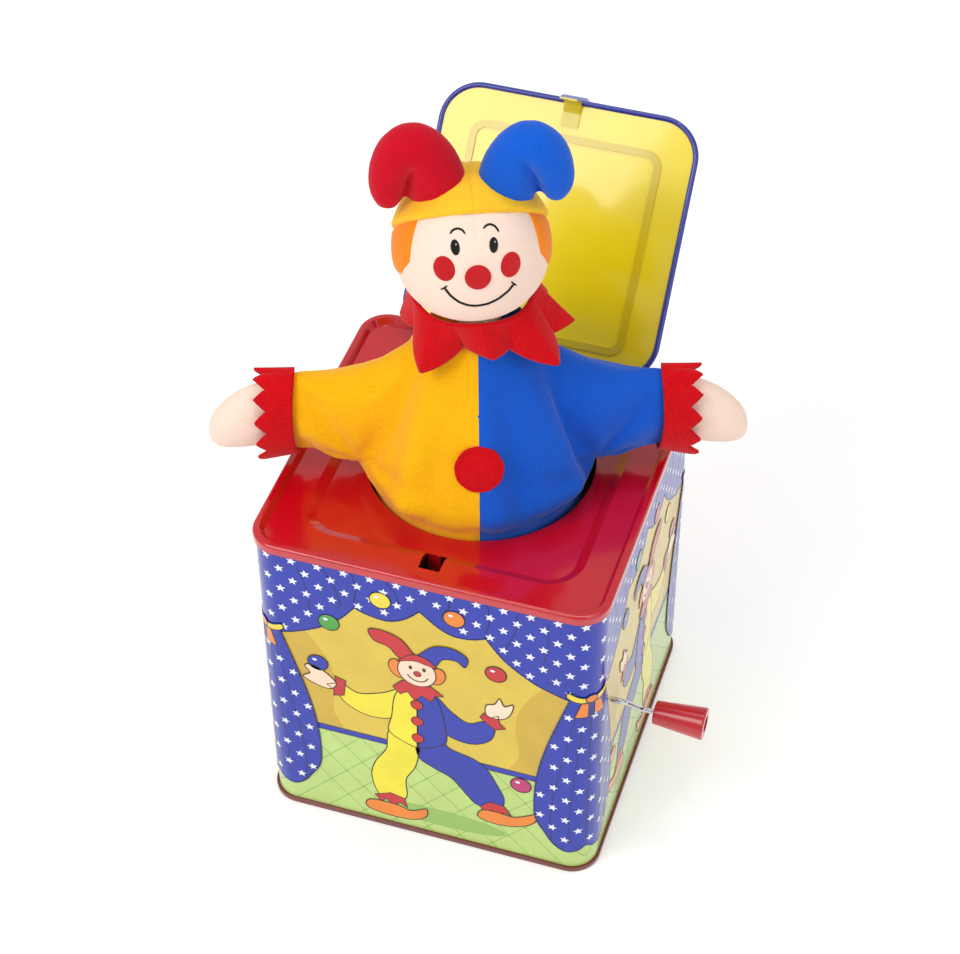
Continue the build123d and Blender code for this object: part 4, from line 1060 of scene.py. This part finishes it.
def smooth_line(pts, closed=False, steps=6):
    p = np.array(pts, float)
    n = len(p)
    out = []
    rng_ = range(n if closed else n - 1)
    for i in rng_:
        p0, p1, p2, p3 = (p[(i - 1) % n] if closed or i > 0 else p[0]), p[i], p[(i + 1) % n], (p[(i + 2) % n] if closed or i + 2 < n else p[-1])
        for q in np.linspace(0, 1, steps, endpoint=False):
            out.append(0.5 * ((2 * p1) + (-p0 + p2) * q + (2 * p0 - 5 * p1 + 4 * p2 - p3) * q ** 2 + (-p0 + 3 * p1 - 3 * p2 + p3) * q ** 3))
    if not closed:
        out.append(p[-1])
    return np.array(out)


def stroke(pts, w, key, level, closed=False):
    p = np.array(pts, float)
    if closed:
        p = np.vstack([p, p[:1]])
    for a, b in zip(p[:-1], p[1:]):
        d = b - a
        ln = np.hypot(*d)
        if ln < 1e-6:
            continue
        d = d / ln
        nrm = np.array([-d[1], d[0]]) * w / 2
        e = d * w * 0.3
        lay([a + nrm - e, a - nrm - e, b - nrm + e, b + nrm + e], key, level)


def blob(pts, key, level, outline=0.45, closed_smooth=True, line="line"):
    q = smooth_line(pts, True) if closed_smooth else np.array(pts, float)
    lay(q, key, level)
    if outline:
        stroke(q, outline, line, level + 1, True)
    return q


def oval(cx, cz, rx, rz, key, level, outline=0.4, n=28, rot=0.0):
    t = np.linspace(0, 2 * math.pi, n, endpoint=False)
    a, b = rx * np.cos(t), rz * np.sin(t)
    q = np.stack([cx + a * math.cos(rot) - b * math.sin(rot), cz + a * math.sin(rot) + b * math.cos(rot)], axis=1)
    lay(q, key, level)
    if outline:
        stroke(q, outline, "line", level + 1, True)


def star(cx, cz, r, key, level, rot=0.0):
    q = []
    for i in range(10):
        t = math.pi / 2 + rot + math.pi * i / 5
        rr = r if i % 2 == 0 else r * 0.45
        q.append((cx + rr * math.cos(t), cz + rr * math.sin(t)))
    lay(q, key, level)


def inside(pt, poly):
    x, z = pt
    c = False
    n = len(poly)
    for i in range(n):
        x1, z1 = poly[i]
        x2, z2 = poly[(i + 1) % n]
        if (z1 > z) != (z2 > z) and x < (x2 - x1) * (z - z1) / (z2 - z1) + x1:
            c = not c
    return c


def stars_in(poly, s0, z0=0.0, pitch=11.2, r=2.15, margin=1.7, off=0.0):
    lo, hi = poly.min(axis=0), poly.max(axis=0)
    row = 0
    z = 4.0 + z0
    while z < hi[1]:
        x = s0 - 100 + (pitch / 2 if row % 2 else 0) + off
        while x < hi[0]:
            ok = inside((x, z), poly) and all(inside((x + margin * math.cos(a), z + margin * math.sin(a)), poly) for a in np.linspace(0, 2 * math.pi, 8, endpoint=False))
            if ok and 4 < z < 149.5:
                star(x, z, r, "white", 8, 0.2 * math.sin(x * 3 + z))
            x += pitch
        z += pitch * 0.52
        row += 1


def figure(c, mirror=1):
    """A juggler in a two-coloured suit with a two-pointed cap, drawn simply."""
    P = lambda pts: [(c + mirror * x, z) for x, z in pts]
    a, b = ("suit", "blue")
    # shadow on the floor
    oval(c + mirror * 4, 13, 30, 5.2, "shadow", 3, 0)
    # legs
    blob(P([(-15, 62), (-17, 50), (-22, 40), (-24, 30), (-21, 19), (-13, 16), (-9, 22), (-9, 33), (-5, 42), (-3.4, 50), (-3.4, 56)]), a, 5)
    blob(P([(-3.4, 62), (-3.4, 50), (3, 45), (11, 41), (17, 33), (22, 28), (31, 29), (33, 36), (30, 44), (26, 52), (20, 57), (10, 60), (6, 66)]), b, 5)
    # ankle frills and shoes
    blob(P([(-23, 18), (-20.5, 14.5), (-18, 17), (-15, 13.6), (-12, 16.5), (-9, 14.4), (-10, 20), (-16, 21.5)]), "red", 7, 0.4, False)
    blob(P([(23, 28), (24, 24.5), (27.5, 27), (30.5, 24), (33, 27), (36, 26.5), (33, 31.5), (27, 32)]), "red", 7, 0.4, False)
    blob(P([(-25, 14), (-27, 9), (-20, 6.6), (-8, 7), (-1, 11), (-0.4, 16.5), (-3.6, 15), (-8, 13), (-14, 14.6)]), "orange", 9)
    blob(P([(23.5, 25.5), (22, 20.5), (30, 18.6), (40, 21), (46, 26), (46.5, 31.5), (43.4, 29.5), (37, 26), (30, 26.5)]), "orange", 9)
    # arms
    blob(P([(-9, 89), (-18, 84), (-28, 80.5), (-35, 84), (-37, 79), (-33, 72), (-24, 68), (-14, 70), (-8, 76)]), a, 6)
    blob(P([(4, 90), (11, 83), (18, 78.5), (25, 82), (29, 79), (27, 71), (19, 66), (9, 68), (2, 76)]), b, 6)
    # body, half and half
    blob(P([(-3.2, 93), (-9, 91), (-12.5, 84), (-14, 72), (-15.5, 62), (-9, 57), (-3.5, 56), (-3.4, 64), (-3.3, 74), (-3.2, 84)]), a, 9)
    blob(P([(-3.2, 93), (3, 91.5), (6.5, 84), (8.5, 72), (8.6, 63), (3, 58), (-3.3, 56), (-3.2, 64), (-3.1, 74), (-3.0, 84)]), b, 9)
    for z in (82, 72, 61.5):
        oval(c + mirror * -3.2, z, 2.5, 2.7, "red", 11, 0.4)
    # cuffs and hands
    blob(P([(-33, 86), (-37.5, 87.5), (-37, 83.5), (-41, 81.5), (-38, 78.5), (-38.5, 75.5), (-34, 77)]), "red", 11, 0.4, False)
    blob(P([(23, 84), (24.5, 87), (27.5, 85.4), (30.5, 87.4), (31, 83), (33.5, 80.6), (29, 78.5)]), "red", 11, 0.4, False)
    blob(P([(-37, 83), (-41, 88), (-46, 91), (-50, 90), (-48, 86), (-51, 83), (-46, 80), (-40, 79)]), "skin", 12)
    blob(P([(26, 86), (25.5, 92), (29, 94), (31, 98), (33, 94), (36.5, 96), (35.5, 90), (32, 86)]), "skin", 12)
    # collar
    blob(P([(-13, 90), (-10, 86.5), (-7, 89), (-4, 84.5), (-1, 88.5), (3, 86), (4.5, 90), (8, 91), (3, 95), (-3, 96.5), (-9, 95)]), "red", 13, 0.4, False)
    # head: hair, face, cap
    oval(c + mirror * -10.8, 101.5, 3.4, 5.2, "orange", 13, 0.4, rot=0.3)
    oval(c + mirror * 5.6, 102, 3.2, 5.0, "orange", 13, 0.4, rot=-0.3)
    oval(c + mirror * -2.7, 102, 7.9, 8.2, "skin", 15, 0.45)
    blob(P([(-9.5, 108), (-14, 113), (-20, 115), (-22, 120.5), (-16, 121.5), (-9, 119), (-4.5, 113), (-2.7, 110)]), "red", 17)
    blob(P([(4.5, 108), (8, 113), (13.5, 114), (17, 111.5), (18, 117), (12.5, 120.5), (5, 119.5), (-0.5, 114), (-2.7, 110)]), "blue", 17)
    blob(P([(-10.5, 106), (-6.5, 110.5), (-2.7, 112), (1.5, 111), (5.5, 107), (1, 107.6), (-3, 108.4), (-7, 107.4)]), "red", 19, 0.35)
    oval(c + mirror * -5.3, 104, 0.75, 1.15, "line", 17, 0)
    oval(c + mirror * 0.3, 104.2, 0.75, 1.15, "line", 17, 0)
    oval(c + mirror * -2.5, 101.0, 1.5, 1.5, "red", 17, 0.3)
    stroke(smooth_line(P([(-6.6, 99.4), (-4.8, 97.4), (-2.4, 96.7), (0.2, 97.4), (1.8, 99.6)])), 0.5, "line", 17)


def juggling(c, mirror, balls):
    for x, z, k in balls:
        oval(c + mirror * x, z, 4.3, 4.3, k, 12, 0.45)
        oval(c + mirror * x - 1.3, z + 1.6, 1.0, 0.7, "white", 14, 0)


def panel(c, mirror, kind):
    L = PANEL / 2
    P = lambda pts: np.array([(c + mirror * x, z) for x, z in pts])
    # backdrop with a darker drape near the curtains, floor and its lattice
    lay([(c - L, 53), (c + L, 53), (c + L, 152.2), (c - L, 152.2)], "yellow", 1)
    lay([(c - L, 1.5), (c + L, 1.5), (c + L, 53), (c - L, 53)], "green", 1)
    for sg in (-1, 1):
        q = smooth_line([(sg * 64, 112), (sg * 52, 113), (sg * 41, 98), (sg * 37.5, 84), (sg * 39, 66), (sg * 36, 54), (sg * 60, 54), (sg * 64, 80)], True)
        lay([(c + x, z) for x, z in q], "ochre", 2)
    for k in range(-5, 6):
        x0 = c + k * 14.0
        for dx in (-1, 1):
            a, b = (x0, 52.5), (x0 + dx * 44, 3.0)
            # kept inside the panel
            t = 1.0
            if abs(b[0] - c) > L:
                t = (L - abs(a[0] - c)) / max(1e-6, abs(b[0] - a[0])) if (b[0] - c) * (a[0] - c) >= 0 or abs(b[0] - c) > L else 1.0
                t = max(0.0, min(1.0, t if (b[0] - a[0]) * (a[0] - c) >= 0 else (L + abs(a[0] - c)) / 44))
            if t > 0.02:
                stroke([a, (a[0] + (b[0] - a[0]) * t, a[1] + (b[1] - a[1]) * t)], 0.42, "lattice", 2)
    lay([(c - L, 52.4), (c + L, 52.4), (c + L, 55.6), (c - L, 55.6)], "blue", 3)
    stroke([(c - L, 52.4), (c + L, 52.4)], 0.4, "line", 4)
    stroke([(c - L, 55.6), (c + L, 55.6)], 0.4, "line", 4)
    figure(c, mirror)
    if kind == "front":
        juggling(c, mirror, [(-38.4, 118.7, "ball_green"), (-16.7, 138.4, "gold"), (12.9, 137.6, "orange"), (29.5, 111.8, "red"), (-44.3, 93.2, "blue"), (40, 47.9, "magenta")])
    else:
        juggling(c, mirror, [(-34, 112, "gold"), (-14, 131, "red"), (14, 132, "ball_green"), (31, 116, "blue"), (-44.3, 93.2, "magenta"), (42, 45, "orange")])


def valance(c):
    L = PANEL / 2
    val = [(-L, 106.0), (-60, 106.4), (-52, 109.2), (-42.3, 114.7), (-34, 122.0), (-27.6, 130.6)]
    v2 = [(-27.6, 130.6), (-22, 128.4), (-14, 127.6), (-7, 131.0), (-1.0, 137.2)]
    v3 = [(-1.0, 137.2), (6, 131.0), (12.5, 127.8), (20, 128.4), (25.4, 130.8)]
    v4 = [(25.4, 130.8), (33, 120.6), (43.5, 112.4), (52, 108.6), (60, 106.4), (L, 106.0)]
    line = np.vstack([smooth_line(v)[:-1] for v in (val, v2, v3)] + [smooth_line(v4)])
    line[:, 0] += c
    poly = np.vstack([line, [(c + L, 152.2), (c - L, 152.2)]])
    lay(poly, "blue", 6)
    stroke(line, 0.7, "deep", 7)
    for x0, z0, x1, z1 in ((-50, 146, -46, 120), (-40, 149, -33, 130), (38, 149, 33, 127), (50, 147, 47, 118), (-14, 149, -9, 137), (11, 149, 8, 138), (26, 150, 25.5, 134), (-28, 150, -27.6, 134)):
        stroke(smooth_line([(c + x0, z0), (c + (x0 + x1) / 2 + 1.4, (z0 + z1) / 2), (c + x1, z1)]), 0.55, "deep", 7)
    stars_in(poly, c, 106, 10.6, off=c % 3)


def curtain(k):
    """The curtain over the corner k, gathered by a tie at height 108."""
    mid = (k + 0.5) * PANEL
    edge = [(-8.2, 107.5), (-12.5, 93.0), (-17.2, 76.0), (-20.4, 60.0), (-21.8, 44.0), (-21.2, 30.0), (-17.0, 21.4)]
    bottom = [(-13.4, 15.6), (-8.8, 12.6), (-3.4, 13.6), (0, 15.8), (3.4, 13.6), (8.8, 12.6), (13.4, 15.6)]
    half = smooth_line(edge + bottom[:3])
    right = [(-x, z) for x, z in reversed(edge)]
    q = smooth_line(edge + bottom + right, False, 5)
    poly = np.array([(mid + x, z) for x, z in q])
    lay(poly, "blue", 20)
    stroke(poly, 0.7, "deep", 21)
    for x0, x1 in ((-5.0, -14.2), (-2.4, -6.8), (0, 0), (2.4, 6.8), (5.0, 14.2)):
        stroke(smooth_line([(mid + x0, 104), (mid + (x0 + x1) / 2 * 1.15, 66), (mid + x1 * 1.05, 36), (mid + x1, 18)]), 0.6, "deep", 21)
    lo, hi = poly.min(axis=0), poly.max(axis=0)
    row = 0
    z = 20.0
    while z < 102:
        x = mid - 30 + (5.3 if row % 2 else 0)
        while x < hi[0]:
            if all(inside((x + 1.6 * math.cos(a), z + 1.6 * math.sin(a)), poly) for a in np.linspace(0, 2 * math.pi, 8, endpoint=False)):
                star(x, z, 2.1, "white", 23, 0.3 * math.sin(x + z))
            x += 10.6
        z += 6.4
        row += 1
    # the tie cord and its tassel
    blob([(mid - 9.5, 108.5), (mid - 5, 106.2), (mid, 105.4), (mid + 5, 106.2), (mid + 9.5, 108.5), (mid + 9, 111.2), (mid + 4.5, 109.2), (mid, 108.4), (mid - 4.5, 109.2), (mid - 9, 111.2)], "gold", 23)
    for x in (-2.6, 2.6):
        blob([(mid + x - 1.4, 106), (mid + x + 1.4, 106), (mid + x * 1.5 + 2.6, 97.5), (mid + x * 1.5 - 2.6, 97.5)], "orange", 23, 0.4, False)
    oval(mid, 107.6, 2.4, 2.0, "orange", 25, 0.4)


for k, (mirror, kind) in enumerate(((1, "front"), (-1, "side"), (1, "side"), (-1, "side"))):
    panel(k * PANEL, mirror, kind)
    valance(k * PANEL)
for k in range(4):
    curtain(k)
print_layer = make("wall_print", art_v, art_f, ink_mats, art_i, smooth=False)
# normals from the wall itself, so that the print turns the corners smoothly
_n = np.zeros((len(art_v), 3))
for i, p in enumerate(art_v):
    x, y = p[0], p[1]
    cx = max(-(HALF - CR), min(HALF - CR, x))
    cy = max(-(HALF - CR), min(HALF - CR, y))
    d = np.array([x - cx, y - cy, 0.0])
    _n[i] = d / max(np.linalg.norm(d), 1e-9)
print_layer.data.polygons.foreach_set("use_smooth", [True] * len(print_layer.data.polygons))
print_layer.data.normals_split_custom_set_from_vertices(_n.tolist())


# ---------------------------------------------------------------- what each piece rides on and stands for
for o in [head, cap, *hair, *face, horn_red, horn_blue, collar]:
    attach(o, "puppet")
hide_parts("head")
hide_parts("hat_cap")
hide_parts("hair_band")
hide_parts("horn_red")
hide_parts("horn_blue")
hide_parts("nose")
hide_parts("collar")
for o, node in ((sleeve_left, "sleeve_left"), (sleeve_right, "sleeve_right"), (cuff_left, "cuff_left"), (cuff_right, "cuff_right"), (hand_left, "hand_left"), (hand_right, "hand_right")):
    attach(o, "puppet")
    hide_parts(node)
for o, node in ((robe_left, "robe_left"), (robe_right, "robe_right"), (robe_button, "robe_button"), (spring_wire, "spring")):
    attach(o, "box")
    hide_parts(node)
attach(print_layer, "box")

for o in (robe_left, robe_right, robe_button):
    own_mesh(o)
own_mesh(spring_wire)
for o, s in ((sleeve_left, -1), (cuff_left, -1), (hand_left, -1), (sleeve_right, 1), (cuff_right, 1), (hand_right, 1)):
    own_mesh(o)


# ---------------------------------------------------------------- floor, light and camera
def floor():
    m, t, b = nt("floor_paper")
    n = noise(t, 6, 3, 0.5)
    t.links.new(ramp(t, n, [(0.3, (0.90, 0.90, 0.90)), (0.7, (0.92, 0.92, 0.92))]), b.inputs["Base Color"])
    b.inputs["Roughness"].default_value = 0.7
    b.inputs["Specular IOR Level"].default_value = 0.2
    b.inputs["Emission Color"].default_value = (1, 1, 1, 1)
    b.inputs["Emission Strength"].default_value = 0.3
    o = make("floor", [(-6000, -6000, 0), (6000, -6000, 0), (6000, 6000, 0), (-6000, 6000, 0)], [(0, 1, 2, 3)], m, smooth=False)
    return o


floor()
world = bpy.data.worlds.new("studio")
bpy.context.scene.world = world
world.use_nodes = True
world.node_tree.nodes["Background"].inputs["Color"].default_value = (1.0, 1.0, 1.0, 1)
world.node_tree.nodes["Background"].inputs["Strength"].default_value = 0.58


def area(name, loc, target, size, power):
    l = bpy.data.lights.new(name, "AREA")
    l.shape = "RECTANGLE"
    l.size, l.size_y = size
    l.energy = power
    o = bpy.data.objects.new(name, l)
    bpy.context.scene.collection.objects.link(o)
    o.location = loc
    o.rotation_euler = (Vector(target) - Vector(loc)).to_track_quat("-Z", "Y").to_euler()
    return o


area("key", (-0.55, -0.75, 1.15), (0, 0, 0.15), (0.7, 0.7), 7.2)
area("fill", (0.9, -0.6, 0.8), (0, 0, 0.12), (0.8, 0.8), 2.0)
area("top", (0.05, 0.25, 1.3), (0, 0.02, 0.15), (0.6, 0.35), 2.6)

cam_d = bpy.data.cameras.new("camera")
cam_d.sensor_fit = "HORIZONTAL"
cam_d.sensor_width = 36.0
cam_d.lens = 91.28
cam_d.dof.use_dof = False
cam_d.clip_end = 50
cam = bpy.data.objects.new("camera", cam_d)
bpy.context.scene.collection.objects.link(cam)
fwd = Vector((-0.22247, 0.67872, -0.69989)).normalized()
right0 = Vector((math.cos(math.radians(18.148)), math.sin(math.radians(18.148)), 0))
up0 = right0.cross(fwd)
roll = math.radians(-0.3476)
r2 = right0 * math.cos(roll) + up0 * math.sin(roll)
u2 = right0 * -math.sin(roll) + up0 * math.cos(roll)
rot = Matrix((r2, u2, -fwd)).transposed()
cam.matrix_world = Matrix.Translation(Vector((0.215128, -0.654537, 0.818526))) @ rot.to_4x4()
bpy.context.scene.camera = cam
bpy.context.scene.view_settings.view_transform = "Standard"
bpy.context.scene.view_settings.look = "None"
